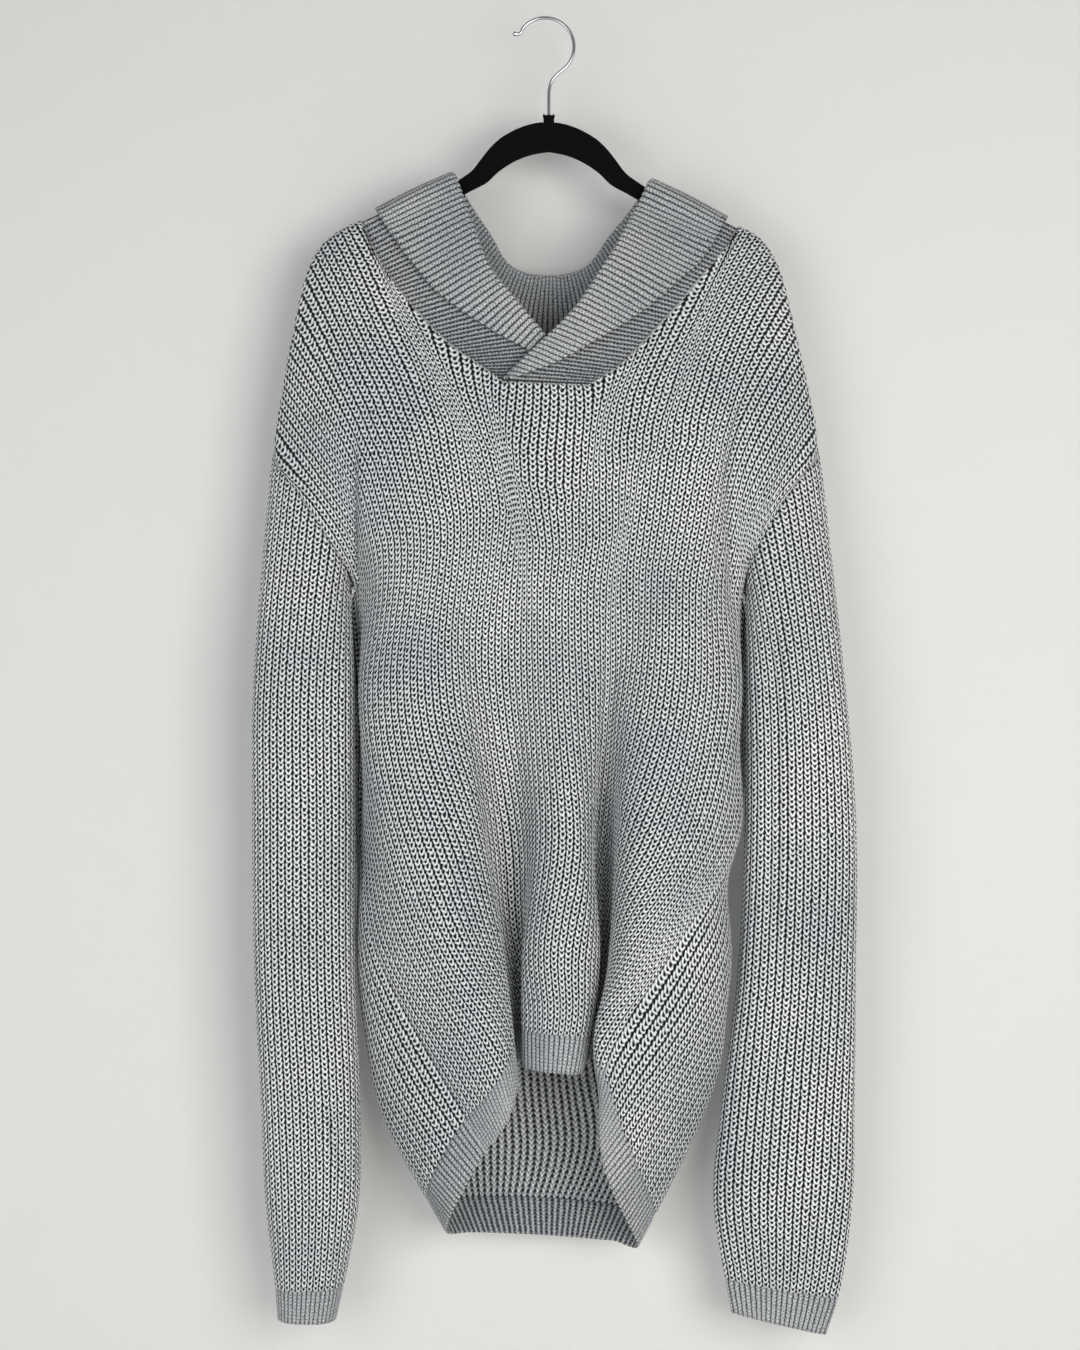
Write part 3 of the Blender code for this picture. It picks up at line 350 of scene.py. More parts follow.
# Smooth curves through tables
def curve(knots, values, at):
    knots = np.asarray(knots, float)
    values = np.asarray(values, float)
    at = np.clip(np.asarray(at, float), knots[0], knots[-1])
    if len(knots) == 2:
        return values[0] + (values[1] - values[0]) * ((at - knots[0]) / (knots[1] - knots[0]))[..., None]
    step = np.diff(knots).reshape((-1,) + (1,) * (values.ndim - 1))
    rise = np.diff(values, axis=0) / step
    slope = np.empty_like(values)
    slope[1:-1] = (rise[:-1] * step[1:] + rise[1:] * step[:-1]) / (step[1:] + step[:-1])
    slope[0] = 1.5 * rise[0] - 0.5 * slope[1]
    slope[-1] = 1.5 * rise[-1] - 0.5 * slope[-2]
    cell = np.clip(np.searchsorted(knots, at, side="right") - 1, 0, len(knots) - 2)
    width = knots[cell + 1] - knots[cell]
    t = (at - knots[cell]) / width
    spare = (1,) * (values.ndim - 1)
    t = t.reshape(t.shape + spare)
    width = width.reshape(width.shape + spare)
    start = values[cell] * (2 * t**3 - 3 * t**2 + 1) + slope[cell] * width * (t**3 - 2 * t**2 + t)
    return start + values[cell + 1] * (3 * t**2 - 2 * t**3) + slope[cell + 1] * width * (t**3 - t**2)


def tableCurve(table, at):
    return curve(list(table), list(table.values()), at)


def ease(t):
    t = np.clip(t, 0.0, 1.0)
    return t * t * (3 - 2 * t)


def unit(vectors):
    return vectors / np.maximum(np.linalg.norm(vectors, axis=-1, keepdims=True), 1e-9)


def lengths(line):
    return np.concatenate([[0.0], np.cumsum(np.linalg.norm(np.diff(line, axis=0), axis=1))])


def readLine(line, at, places):
    return np.stack([np.interp(places, at, column) for column in line.T], axis=-1)


def onLine(line, share):
    at = lengths(line)
    return readLine(line, at, np.asarray(share) * at[-1])


creaseShape = {"fadeIn": 0.3, "fadeOut": 0.25, "sharpness": 1.6}


def press(points, creases, inward, share):
    # presses long soft creases into the cloth: from (across, up), to (across, up), half width, depth
    for start, end, halfWidth, depth in creases:
        start = np.array(start, float)
        along = np.array(end, float) - start
        length = np.linalg.norm(along)
        along /= length
        offset = points[..., [0, 2]] - start
        way = offset @ along / length
        beside = np.abs(offset[..., 0] * along[1] - offset[..., 1] * along[0]) / halfWidth
        fade = ease(way / creaseShape["fadeIn"]) * ease((1 - way) / creaseShape["fadeOut"])
        dent = np.exp(-beside * beside * creaseShape["sharpness"])
        points[..., 1] += inward * depth * share[:, None] * fade * dent
    return points


def addMesh(name, mesh, *looks):
    data = bpy.data.meshes.new(name)
    mesh.to_mesh(data)
    mesh.free()
    for look in looks:
        data.materials.append(look)
    return addObject(name, data)


def addPiece(name, mesh, slot, *looks):
    piece = addMesh(name, mesh, *looks)
    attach(piece, "root")
    return piece


def smoothFaces(mesh):
    for face in mesh.faces:
        face.smooth = True


# the look of each cloth's outer and inner face
clothLooks = {"knit": (shakerMade, insideMade), "fine_rib": (fineRibMade, fineRibMade)}


def clothPiece(name, points, wales, courses, slot, thickness, closed=False):
    # a bmesh grid bent over the points (columns, rows), its UV map counting wales and courses
    walesCourses = np.stack(np.broadcast_arrays(wales[:, None], courses), axis=-1)
    columns, rows = points.shape[:2]
    mesh = bmesh.new()
    uvLayer = mesh.loops.layers.uv.new("wales and courses")
    bmesh.ops.create_grid(mesh, x_segments=columns - 1, y_segments=rows - 1, size=0.5)
    keys = [(round((v.co.x + 0.5) * (columns - 1)), round((0.5 - v.co.y) * (rows - 1))) for v in mesh.verts]
    mesh.verts.index_update()
    smoothFaces(mesh)
    for face in mesh.faces:
        for corner in face.loops:
            corner[uvLayer].uv = walesCourses[keys[corner.vert.index]]
    for vert, key in zip(mesh.verts, keys):
        across, out, up = points[key]
        vert.co = (across * mm, -out * mm, up * mm)
    if closed:
        bmesh.ops.remove_doubles(mesh, verts=mesh.verts, dist=0.01 * mm)
    piece = addPiece(name + "_cloth", mesh, slot, *clothLooks[slot])
    wall = piece.modifiers.new("wall", "SOLIDIFY")
    wall.thickness = thickness * mm
    wall.offset = 0.0
    wall.material_offset = 1
    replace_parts(piece, name)
    return piece


def facings(points, closed=False):
    # unit normals of a grid of points, away from the sweater
    if closed:
        across = np.roll(points, -1, axis=0) - np.roll(points, 1, axis=0)
    else:
        across = np.gradient(points, axis=0)
    return unit(np.cross(across, np.gradient(points, axis=1)))


def fallenLengths(points):
    # how far down its rib line each point is
    return np.array([lengths(line) for line in points])


def printSize(name, points):
    across = np.diff(points, axis=0)[:, :-1]
    down = np.diff(points, axis=1)[:-1]
    area = np.linalg.norm(np.cross(across, down), axis=-1).sum() * mm * mm
    print(f"{name}: {area:.4f} m2, {fallenLengths(points)[:, -1].max():.0f} mm long")


# The body: rib lines from neck or shoulder to hem, one for each listed place across the wales.
# The lobes hang from the hanger's ends, furrows fall from the neckline's slopes and the middle
# fold from its straight bottom.
shoulderLeft = {
    -275: (-251, 0, -405),
    -235: (-241, -3, -352),
    -195: (-231, -4, -294),
    -158: (-213, -4, -224),
    -130: (-192, -4, -200),
    -105: (-168, -3.5, -187.9),
}
shoulderRight = {
    105: (177, -3.5, -193.6),
    130: (197, -4, -205),
    158: (213, -4, -230),
    195: (229, -4, -291),
    235: (242, -3, -350),
    275: (253, 0, -404),
}
shoulders = {-275: shoulderLeft, 275: shoulderRight}

# the side seams, from below the underarm to the hem, shared by front and back
sideSeams = {
    -275: (
        (-175, -4, -525), (-167, -26, -645), (-167, 2, -764),
        (-145, 45, -870), (-91, 57, -965), (-52, 62, -1026),
    ),
    275: (
        (180, -4, -532), (176, -2, -642), (174, 30, -757),
        (115, 82, -843), (60, 88, -930), (49, 64, -984),
    ),
}

# Each rib line from the yoke down. Each armhole has a point where the cloth has rolled over the
# shoulder, and one at the yoke. Roll is how far it lifts the cloth there and swings it out, as
# shares of the way to the yoke
frontRibs = {
    -235: (
        (-202, 34, -413), (-166, 14, -509), (-164, 34, -628), (-140, 62, -759),
        (-107, 80, -855), (-70, 82, -930), (-37, 78, -1004),
    ),
    -195: (
        (-195, 34, -359), (-151, 38, -486), (-122, 62, -616), (-96, 80, -758),
        (-70, 88, -849), (-47, 86, -915), (-29, 80, -985),
    ),
    -158: (
        (-177, 32, -304), (-112, 46, -464), (-83, 60, -607), (-58, 58, -750),
        (-39, 60, -853), (-31, 62, -911), (-25, 62, -966),
    ),
    -130: (
        (-156, 34, -291), (-85, 46, -464), (-64, 50, -607), (-50, 30, -757),
        (-38, 28, -857), (-33, 30, -908), (-29, 31, -955),
    ),
    -105: (
        (-132, 34, -280), (-61, 46, -459), (-46, 42, -608), (-35, 14, -763),
        (-28, 10, -860), (-23, 11, -910), (-19, 12, -955),
    ),
    -82: (
        (-88, 40, -330), (-45, 46, -459), (-30, 42, -608), (-19, 24, -762),
        (-18, 20, -858), (-14, 23, -908), (-10, 26, -954),
    ),
    -60: (
        (-54, 43, -355), (-33, 47, -459), (-15, 48, -616), (-8, 50, -760),
        (-19, 48, -859), (-20, 50, -906), (-19, 54, -954),
    ),
    -37: (
        (-33, 44, -383), (-19, 50, -482), (-1, 56, -621), (3, 62, -759),
        (-5, 66, -858), (-5, 67, -906), (-5, 68, -955),
    ),
    0: (
        (3, 45, -392), (9, 52, -491), (15, 60, -625), (19, 68, -759),
        (17, 72, -858), (14, 73, -905), (10, 72, -956),
    ),
    37: (
        (39, 44, -383), (34, 50, -486), (31, 56, -625), (34, 62, -759),
        (40, 64, -859), (36, 67, -906), (27, 68, -958),
    ),
    60: (
        (60, 43, -358), (52, 49, -482), (46, 48, -625), (42, 44, -760),
        (48, 46, -861), (43, 50, -906), (33, 54, -958),
    ),
    82: (
        (86, 42, -337), (65, 47, -477), (53, 40, -626), (46, 18, -763),
        (44, 16, -864), (37, 22, -908), (30, 28, -957),
    ),
    105: (
        (131, 34, -305), (80, 47, -464), (61, 42, -621), (54, 6, -764),
        (52, 3, -862), (46, 4, -910), (40, 4, -956),
    ),
    130: (
        (154, 34, -296), (100, 47, -464), (69, 54, -621), (62, 20, -761),
        (60, 14, -856), (55, 12, -905), (50, 12, -954),
    ),
    158: (
        (174, 34, -305), (121, 47, -464), (84, 66, -621), (67, 56, -755),
        (59, 46, -850), (53, 40, -900), (52, 30, -953),
    ),
    195: (
        (192, 36, -359), (150, 44, -477), (118, 72, -625), (91, 80, -758),
        (69, 78, -851), (47, 74, -908), (49, 42, -960),
    ),
    235: (
        (208, 36, -413), (176, 18, -512), (170, 44, -630), (139, 68, -758),
        (90, 88, -850), (48, 86, -918), (49, 56, -970),
    ),
}
frontPanel = {
    "inward": -1,
    "roll": (0.087, 0.2),
    "ribs": frontRibs,
    "armholes": {-275: ((-243, 10, -413), (-212, 27, -457)), 275: ((243, 12, -410), (209, 28, -458))},
    "neck": {
        -105: (-167.5, 7.5, -189.2),
        -100: (-159, 13, -210),
        -95: (-143, 21, -238),
        -88: (-121, 30, -268),
        -76: (-92, 35, -298),
        -58: (-64, 38, -319),
        -37: (-38, 42, -338),
        37: (39, 42, -341),
        58: (71, 39, -319),
        76: (98, 35, -292),
        88: (127, 30, -260),
        95: (150, 23, -232),
        100: (166.5, 14, -210.5),
        105: (176.5, 7.5, -195.2),
    },
    "creases": (
        ((-171, -360), (-171, -560), 4, 7),
        ((176, -345), (157, -440), 6, 7),
        ((158, -400), (171, -562), 6, 10),
        ((150, -410), (160, -540), 5, 4),
        ((-92, -430), (-52, -640), 20, 5),
        ((100, -470), (66, -640), 18, 5),
    ),
}
backRibs = {
    -235: (
        (-218, -30, -425), (-203, -44, -530), (-200, -50, -650), (-173, -28, -785),
        (-163, 16, -900), (-126, 36, -990), (-70, 58, -1058),
    ),
    -195: (
        (-202, -33, -380), (-178, -48, -515), (-180, -56, -655), (-152, -46, -800),
        (-166, -16, -925), (-146, 2, -1012), (-84, 44, -1087),
    ),
    -158: (
        (-178, -36, -330), (-150, -45, -500), (-138, -52, -650), (-114, -48, -800),
        (-146, -36, -955), (-136, -24, -1030), (-90, 14, -1111),
    ),
    -105: (
        (-130, -40, -310), (-102, -46, -490), (-92, -48, -645), (-74, -44, -800),
        (-88, -42, -975), (-92, -36, -1050), (-68, -18, -1120),
    ),
    -50: (
        (-62, -44, -370), (-50, -47, -500), (-45, -46, -650), (-36, -43, -805),
        (-42, -42, -1000), (-42, -37, -1062), (-32, -25, -1123),
    ),
    0: (
        (0, -45, -380), (0, -48, -505), (0, -48, -655), (2, -44, -808),
        (2, -42, -1004), (0, -38, -1066), (0, -27, -1125),
    ),
    50: (
        (62, -44, -370), (50, -47, -500), (47, -46, -650), (42, -43, -805),
        (46, -42, -990), (46, -37, -1056), (33, -25, -1127),
    ),
    105: (
        (132, -40, -310), (106, -46, -490), (98, -48, -645), (82, -44, -800),
        (110, -40, -952), (108, -32, -1022), (63, -18, -1128),
    ),
    158: (
        (180, -36, -335), (155, -45, -500), (142, -52, -650), (124, -46, -795),
        (160, -14, -912), (154, -2, -985), (84, 11, -1122),
    ),
    195: (
        (206, -33, -385), (184, -48, -515), (182, -56, -655), (158, -42, -790),
        (166, 22, -890), (140, 40, -962), (61, 56, -1067),
    ),
    235: (
        (216, -30, -430), (208, -44, -535), (198, -50, -650), (169, -20, -775),
        (150, 58, -868), (98, 76, -952), (50, 58, -1030),
    ),
}
backPanel = {
    "inward": 1,
    "roll": (0.08, 0.06),
    "ribs": backRibs,
    "armholes": {-275: ((-245, -9, -414), (-214, -24, -457)), 275: ((246, -9, -412), (211, -24, -460))},
    "neck": {
        -105: (-167.2, -9.3, -190.4),
        -96: (-158, -19, -207),
        -86: (-138, -29, -233),
        -74: (-112, -36, -259),
        -50: (-62, -41, -291),
        0: (0, -43, -303),
        50: (64, -41, -291),
        74: (116, -36, -259),
        86: (146, -29, -235),
        96: (167, -19, -211),
        105: (176.2, -9.3, -196),
    },
    "creases": (
        ((-96, -330), (-52, -760), 24, 17),
        ((-28, -480), (-18, -1040), 20, 13),
        ((104, -340), (60, -780), 24, 16),
        ((34, -520), (38, -1060), 19, 12),
        ((-150, -360), (-120, -620), 20, 10),
        ((158, -370), (130, -640), 20, 10),
    ),
}
bodyCut = {
    "halfWidth": 275.0,  # half a panel across the wales
    "neckPoint": 105.0,
    "neckCorner": 37.0,
    "wales": 77,
    "samplesPerWale": 4,
    "rows": 118,
    "course": 5.0,  # knitted height of one course
    "fineCourse": 3.2,  # and of one in the bands, the cuffs and the collar
    "ridge": 0.55,  # how far the wales stand up and the furrows sink
    "ridgeFade": 5.0,  # below the top edge
    "wall": 2.2,
    "seamDip": 1.3,  # how far the cloth is drawn in along its seams
    "seamReach": 4.0,
    "sideBlend": 20.0,  # how near the side a wale starts to follow the seam
    "creaseFade": 30.0,
    "rollPlace": 0.1,  # as a share of the way from the top edge to the yoke
    "rollFade": 4.0,
    "armholeBlend": 25.0,
}
bandCut = {
    "depth": 34.0,
    "ribs": 92,
    "ridge": 0.5,
    "edgeRidge": 0.6,  # what is left of the ridge at the edge
    "seamDip": 0.9,
    "rows": 8,
}
# Places along the rib lines, as shares of their length. Evening says how much the wales keep their
# spacing and how much less a row's drop counts, each from one such place over a stretch
evening = {
    "share": 0.85,
    "from": 0.02,
    "over": 0.18,
    "dropLess": 0.6,
    "dropFrom": 0.22,
    "dropOver": 0.25,
}
stations = (0.0, 0.03, 0.1, 0.27, 0.47, 0.67, 0.83, 0.915, 1.0)
underarm = stations[3]  # where the armhole ends and the side seam starts


class Panel:
    def __init__(self, settings):
        self.settings = settings
        self.neck = settings["neck"]
        lines = dict(settings["ribs"])
        for wale, seam in sideSeams.items():
            lines[wale] = settings["armholes"][wale][1:] + seam
        self.wales = sorted(lines)
        self.lines = np.array([lines[wale] for wale in self.wales], float)
        self.armTurns = {wale: np.array(points[0], float) for wale, points in settings["armholes"].items()}

    def edge(self, wales):
        # shoulder lines outside the neck points, the neckline between them
        keys = np.array(list(self.neck), float)
        points = np.array(list(self.neck.values()), float)
        edge = curve(keys, points, wales)
        corner = bodyCut["neckCorner"]
        if corner in self.neck:
            bottom = np.abs(keys) <= corner
            edge = curve(keys[bottom], points[bottom], wales)
            for turn in (-1, 1):
                slope = keys * turn >= corner
                beyond = (wales * turn > corner)[:, None]
                edge = np.where(beyond, curve(keys[slope], points[slope], wales), edge)
        for side, shoulder in shoulders.items():
            beyond = (wales * np.sign(side) >= bodyCut["neckPoint"])[:, None]
            edge = np.where(beyond, tableCurve(shoulder, wales), edge)
        return edge

    def turn(self, wales, top, yoke):
        # a little below the top edge the cloth has rolled over the shoulder
        roll = ease((np.abs(wales) - bodyCut["neckPoint"]) / bodyCut["rollFade"] + 1)[:, None]
        lift, swing = self.settings["roll"]
        made = top + (bodyCut["rollPlace"] - lift * roll) * (yoke - top)
        made[:, 1:2] = top[:, 1:2] + (bodyCut["rollPlace"] + swing * roll) * (yoke - top)[:, 1:2]
        for wale, point in self.armTurns.items():
            near = ease(1 - np.abs(wales - wale) / bodyCut["armholeBlend"])
            made += near[:, None] * (point - made)
        return made

    def points(self, wales, rows):
        wales = np.asarray(wales, float)
        rows = np.broadcast_to(np.asarray(rows, float), (len(wales), np.shape(rows)[-1]))
        body = curve(self.wales, self.lines, wales)
        top = self.edge(wales)
        lines = np.concatenate([top[:, None], self.turn(wales, top, body[:, 0])[:, None], body], axis=1)
        grid = np.array([curve(stations, line, row) for line, row in zip(lines, rows)])
        # below the underarm the side seams are lines that front and back share
        for side, seam in sideSeams.items():
            near = ease(1 - np.abs(wales - side) / bodyCut["sideBlend"])
            line = [shoulders[side][side], self.armTurns[side], *self.lines[self.wales.index(side)]]
            for column in np.flatnonzero(near):
                row = rows[column]
                shift = curve(stations[3:], seam, row) - curve(stations, line, row)
                grid[column] += near[column] * np.where((row >= underarm)[:, None], shift, 0.0)
        fade = ease((bodyCut["halfWidth"] - np.abs(wales)) / bodyCut["creaseFade"])
        return press(grid, self.settings["creases"], self.settings["inward"], fade)

    def bandRow(self, wales):
        # the station on each rib line where the hem band starts
        fine = np.linspace(stations[-3], stations[-1], 60)
        steps = np.linalg.norm(np.diff(self.points(wales, fine), axis=1), axis=2)
        left = np.cumsum(steps[:, ::-1], axis=1)[:, ::-1]
        return np.array([np.interp(-bandCut["depth"], -row, fine[:-1]) for row in left])


def waleColumns():
    # evenly spaced, with the neckline's corners among them
    half = bodyCut["halfWidth"]
    places = np.linspace(-half, half, bodyCut["wales"] * bodyCut["samplesPerWale"] + 1)
    for corner in (bodyCut["neckPoint"], bodyCut["neckCorner"]):
        for mark in (-corner, corner):
            places[np.argmin(np.abs(places - mark))] = mark
    return places


def ribWave(count):
    # furrow at each whole number, ridge half way
    return -np.cos(2 * np.pi * count)


def seamGroove(distance):
    return bodyCut["seamDip"] * np.exp(-((distance / bodyCut["seamReach"]) ** 2))


def evenOut(points, rows, share):
    # the wales keep their spacing as they fall into the folds, along the same surface
    made = points.copy()
    for level in range(points.shape[1]):
        line = points[:, level]
        row = rows[:, level].mean()
        # on the slanting folds the drop along a row counts for less than its width
        flatter = 1 - evening["dropLess"] * ease((row - evening["dropFrom"]) / evening["dropOver"])
        at = lengths(line * (1, 1, flatter))
        even = evening["share"] * ease((row - evening["from"]) / evening["over"])
        way = (1 - even) * at / at[-1] + even * share
        made[:, level] = readLine(line, at, way * at[-1])
    return made


def makePanel(name, panel, wales):
    grow = np.linspace(0, 1, bodyCut["rows"] + 1)
    grow = grow + 0.5 * grow * (1 - grow) * (grow - 0.5)  # rows a quarter closer at both ends
    rows = grow[None] * panel.bandRow(wales)[:, None]
    laid = panel.points(wales, rows)
    middle = evenOut(laid, rows, (wales - wales[0]) / (wales[-1] - wales[0]))
    facing = facings(middle)
    down = fallenLengths(middle)
    count = (wales + bodyCut["halfWidth"]) / (2 * bodyCut["halfWidth"]) * bodyCut["wales"]
    fromSide = bodyCut["halfWidth"] - np.abs(wales)
    relief = bodyCut["ridge"] * ribWave(count)[:, None] * ease(down / bodyCut["ridgeFade"])
    dip = np.maximum(seamGroove(fromSide)[:, None], seamGroove(down))
    surface = middle + facing * (relief - dip)[..., None]
    courses = (down[:, -1:] - down) / bodyCut["course"]
    piece = clothPiece(name, surface, count, courses, "knit", bodyCut["wall"])
    printSize(name, middle)
    return {"piece": piece, "middle": middle, "facing": facing, "edge": laid[:, -1]}


def makeBand(name, panel, wales, edge):
    ribs = bandCut["ribs"]
    share = np.linspace(0, 1, ribs * bodyCut["samplesPerWale"] + 1)
    at = np.interp(share, lengths(edge) / lengths(edge)[-1], wales)
    start = panel.bandRow(at)[:, None]
    depth = np.linspace(0, 1, bandCut["rows"] + 1)
    middle = panel.points(at, start + (1 - start) * depth)
    middle[:, 0] = onLine(edge, share)
    relief = bandCut["ridge"] * ribWave(share * ribs)[:, None] * np.ones(len(depth))
    relief[:, 0] -= bandCut["seamDip"]
    relief[:, -1] *= bandCut["edgeRidge"]
    surface = middle + facings(middle) * relief[..., None]
    courses = (1 - depth) * bandCut["depth"] / bodyCut["fineCourse"]
    piece = clothPiece(name, surface, share * ribs, courses, "fine_rib", bodyCut["wall"])
    printSize(name, middle)
    return piece


front = Panel(frontPanel)
back = Panel(backPanel)
frontWales = waleColumns()
backWales = frontWales[::-1]
frontMade = makePanel("front", front, frontWales)
backMade = makePanel("back", back, backWales)
frontBand = makeBand("hem_band_front", front, frontWales, frontMade["edge"])
backBand = makeBand("hem_band_back", back, backWales, backMade["edge"])
print("body knitted")


# Sleeves: oval sections below the armhole
# up at the outer side, up at the inner side, outer, inner, front, back
leftSleeve = {
    "sections": (
        (-590, -596, -264, -175, 38, -21),
        (-735, -735, -266, -175, 39, -22),
        (-880, -880, -264, -175, 39, -22),
        (-1000, -1000, -258, -171, 37, -22),
        (-1090, -1090, -254, -173, 33, -20),
        (-1162, -1161, -246, -186, 30, -24),
        (-1192, -1193, -244, -193, 27, -23),
    ),
    "creases": (((-206, -500), (-204, -900), 12, 4), ((-196, -980), (-178, -1075), 9, 5)),
}
rightSleeve = {
    "sections": (
        (-590, -600, 271, 184, 35, -20),
        (-735, -735, 283, 185, 36, -20),
        (-880, -880, 283, 178, 33, -20),
        (-1000, -1000, 282, 163, 28, -17),
        (-1090, -1086, 280, 156, 22, -14),
        (-1174, -1156, 268, 166, 13, -8),
        (-1208, -1188, 257, 172, 10, -6),
    ),
    "creases": (((209, -480), (206, -900), 12, 6), ((214, -900), (196, -1080), 12, 4)),
}
sleeveCut = {
    "ribs": 36,
    "ridge": bodyCut["ridge"],
    "course": bodyCut["course"],
    "roundness": 0.78,  # 1 for an ellipse, less for a fuller section
    "rows": 124,
    "capEase": 0.55,  # how much the wales crowd at the shoulder and the underarm
    "creasesFrom": 4.0,  # only the front is creased, from this far out
    "besides": 4.3,  # under the arm the sleeve hangs this far beside the body
    "besidesFrom": 95.0,  # below the shoulder
    "besidesOver": 25.0,
    "besidesAround": 0.2,
    "besidesDown": 110.0,
}
cuffCut = {
    "ribs": 44,
    "ridge": 0.45,
    "course": bodyCut["fineCourse"],
    "rows": 7,
    "seamDip": 0.8,
}
sleeveStations = (0.0, 0.14, 0.32, 0.52, 0.7, 0.84, 0.95, 1.0)
cuffStation = sleeveStations[-2]


def sleeveSections(table, turn, share):
    # each from the outer side round through the front, or through the back when turn is -1
    angle = 2 * np.pi * turn * np.linspace(0, 1, 721)  # every half degree
    power = sleeveCut["roundness"]
    across = 0.5 + 0.5 * np.sign(np.cos(angle)) * np.abs(np.cos(angle)) ** power
    wide = np.sign(np.sin(angle)) * np.abs(np.sin(angle)) ** power
    rings = []
    for upOuter, upInner, outer, inner, ahead, behind in table:
        x = inner + (outer - inner) * across
        out = 0.5 * (ahead + behind) + 0.5 * (ahead - behind) * wide
        up = upInner + (upOuter - upInner) * across
        rings.append(onLine(np.stack([x, out, up], axis=-1), share))
    return np.array(rings)


def besideBody(middle, share, down):
    # the shoulder's and the armhole's points are shared with the body, so the underarm is moved in
    fallen = middle[:, :1, 2].max() - middle[..., 2]
    low = ease((fallen - sleeveCut["besidesFrom"]) / sleeveCut["besidesOver"])
    around = ease(1 - np.abs(share - 0.5) / sleeveCut["besidesAround"])[:, None]
    return low * around * ease(1 - down / sleeveCut["besidesDown"]) * sleeveCut["besides"]


def makeSleeve(side, settings, firstHalf, secondHalf, turn):
    def ringAt(share):
        # wales meet the armhole where they would if they ran straight up
        half = np.where(share <= 0.5, share * 2, 2 - share * 2)
        crowded = 0.5 - 0.5 * np.cos(np.pi * half)
        along = sleeveCut["capEase"] * crowded + (1 - sleeveCut["capEase"]) * half
        return np.where((share <= 0.5)[:, None], onLine(firstHalf, along), onLine(secondHalf, along))

    def grid(share, rows):
        lines = np.concatenate([ringAt(share)[None], sleeveSections(settings["sections"], turn, share)])
        surface = curve(sleeveStations, lines, rows).swapaxes(0, 1)
        pressed = press(surface.copy(), settings["creases"], -1, np.ones(len(share)))
        return np.where(surface[..., 1:2] > sleeveCut["creasesFrom"], pressed, surface)

    def closedCloth(name, cut, rows, slot):
        share = np.linspace(0, 1, cut["ribs"] * bodyCut["samplesPerWale"] + 1)
        middle = grid(share, rows)
        facing = facings(middle[:-1], closed=True)
        down = fallenLengths(middle[:-1])
        relief = cut["ridge"] * ribWave(share[:-1] * cut["ribs"])[:, None] * np.ones(len(rows))
        if cut is sleeveCut:
            middle[:-1] -= facing * besideBody(middle[:-1], share[:-1], down)[..., None]
            relief -= seamGroove(down)
        else:
            relief[:, 0] -= cut["seamDip"]
        surface = middle[:-1] + facing * relief[..., None]
        surface = np.concatenate([surface, surface[:1]])
        courses = (down[:, -1:] - down) / cut["course"]
        courses = np.concatenate([courses, courses[:1]])
        piece = clothPiece(name, surface, share * cut["ribs"], courses, slot, bodyCut["wall"], closed=True)
        printSize(name, middle)
        return piece

    sleeveRows = np.linspace(0, 1, sleeveCut["rows"] + 1) * cuffStation
    cuffRows = np.linspace(cuffStation, 1.0, cuffCut["rows"] + 1)
    sleeve = closedCloth("sleeve_" + side, sleeveCut, sleeveRows, "knit")
    cuff = closedCloth("cuff_" + side, cuffCut, cuffRows, "fine_rib")
    return sleeve, cuff


def armLine(panel, wale):
    return panel.points([wale], np.linspace(0, underarm, 60))[0]


leftPieces = makeSleeve("left", leftSleeve, armLine(front, -275), armLine(back, -275), 1)
rightPieces = makeSleeve("right", rightSleeve, armLine(back, 275), armLine(front, 275), -1)
print("sleeves knitted")


# Collar: one strip from the right end round the back to the left end. Where each of its rib lines
# leaves the neckline, where it turns over, and where its leaf ends
collarStations = (
    ((39, 42, -341), (-38, 46, -337.5), (-31, 51, -336.5)),
    ((67, 39, -321), (-11, 48, -311), (13, 52, -321)),
    ((81, 37, -309), (3, 48, -298), (33, 52, -310)),
    ((106, 33, -284), (31, 45, -268), (71, 47, -287)),
    ((122, 30, -266), (47, 41, -243), (96, 42, -269)),
    ((138, 26, -250), (62, 33, -219), (120, 34, -247)),
    ((152, 19, -232), (74, 23, -195), (140, 24, -229)),
    ((165, 14, -212), (84, 14, -176), (154, 15, -208)),
    ((176.5, 7.5, -195.2), (95, 7, -152.4), (164, 12, -187)),
    ((177, -3.5, -193.6), (97, -1, -148.6), (168, -2, -181.5)),
    ((167, -19, -211), (94, -9, -153), (161, -19, -192)),
    ((150, -27, -230), (80, -17, -172), (140, -38, -214)),
    ((116, -36, -259), (62, -25, -193), (114, -44, -243)),
    ((72, -40, -288), (40, -31, -221), (72, -48, -270)),
    ((0, -43, -303), (3, -34, -230), (0, -50, -289)),
    ((-72, -40, -286), (-34, -30, -220), (-70, -48, -270)),
    ((-112, -36, -259), (-52, -24, -192), (-106, -44, -240)),
    ((-142, -27, -228), (-69, -15, -168), (-132, -38, -209)),
    ((-158, -19, -207), (-81, -9, -147.4), (-150, -20, -185)),
    ((-168, -3.5, -187.9), (-84, -1, -142.7), (-156, -2, -174)),
    ((-167.5, 7.5, -189.2), (-82, 7, -146.2), (-153, 12, -180)),
    ((-158.5, 13, -211), (-76, 14, -164), (-144, 15, -195)),
    ((-147, 20, -233), (-65, 22, -196), (-122, 23, -227)),
    ((-132, 26, -257), (-53, 31, -229), (-99, 33, -255)),
    ((-103, 33, -288), (-24, 35, -267), (-51, 38, -290)),
    ((-77, 37, -310), (3, 35, -299), (-11, 38, -312)),
    ((-58, 38, -323), (20, 34, -317), (9, 37, -325)),
    ((-38, 42, -338), (40, 33, -340), (33, 36, -340)),
)
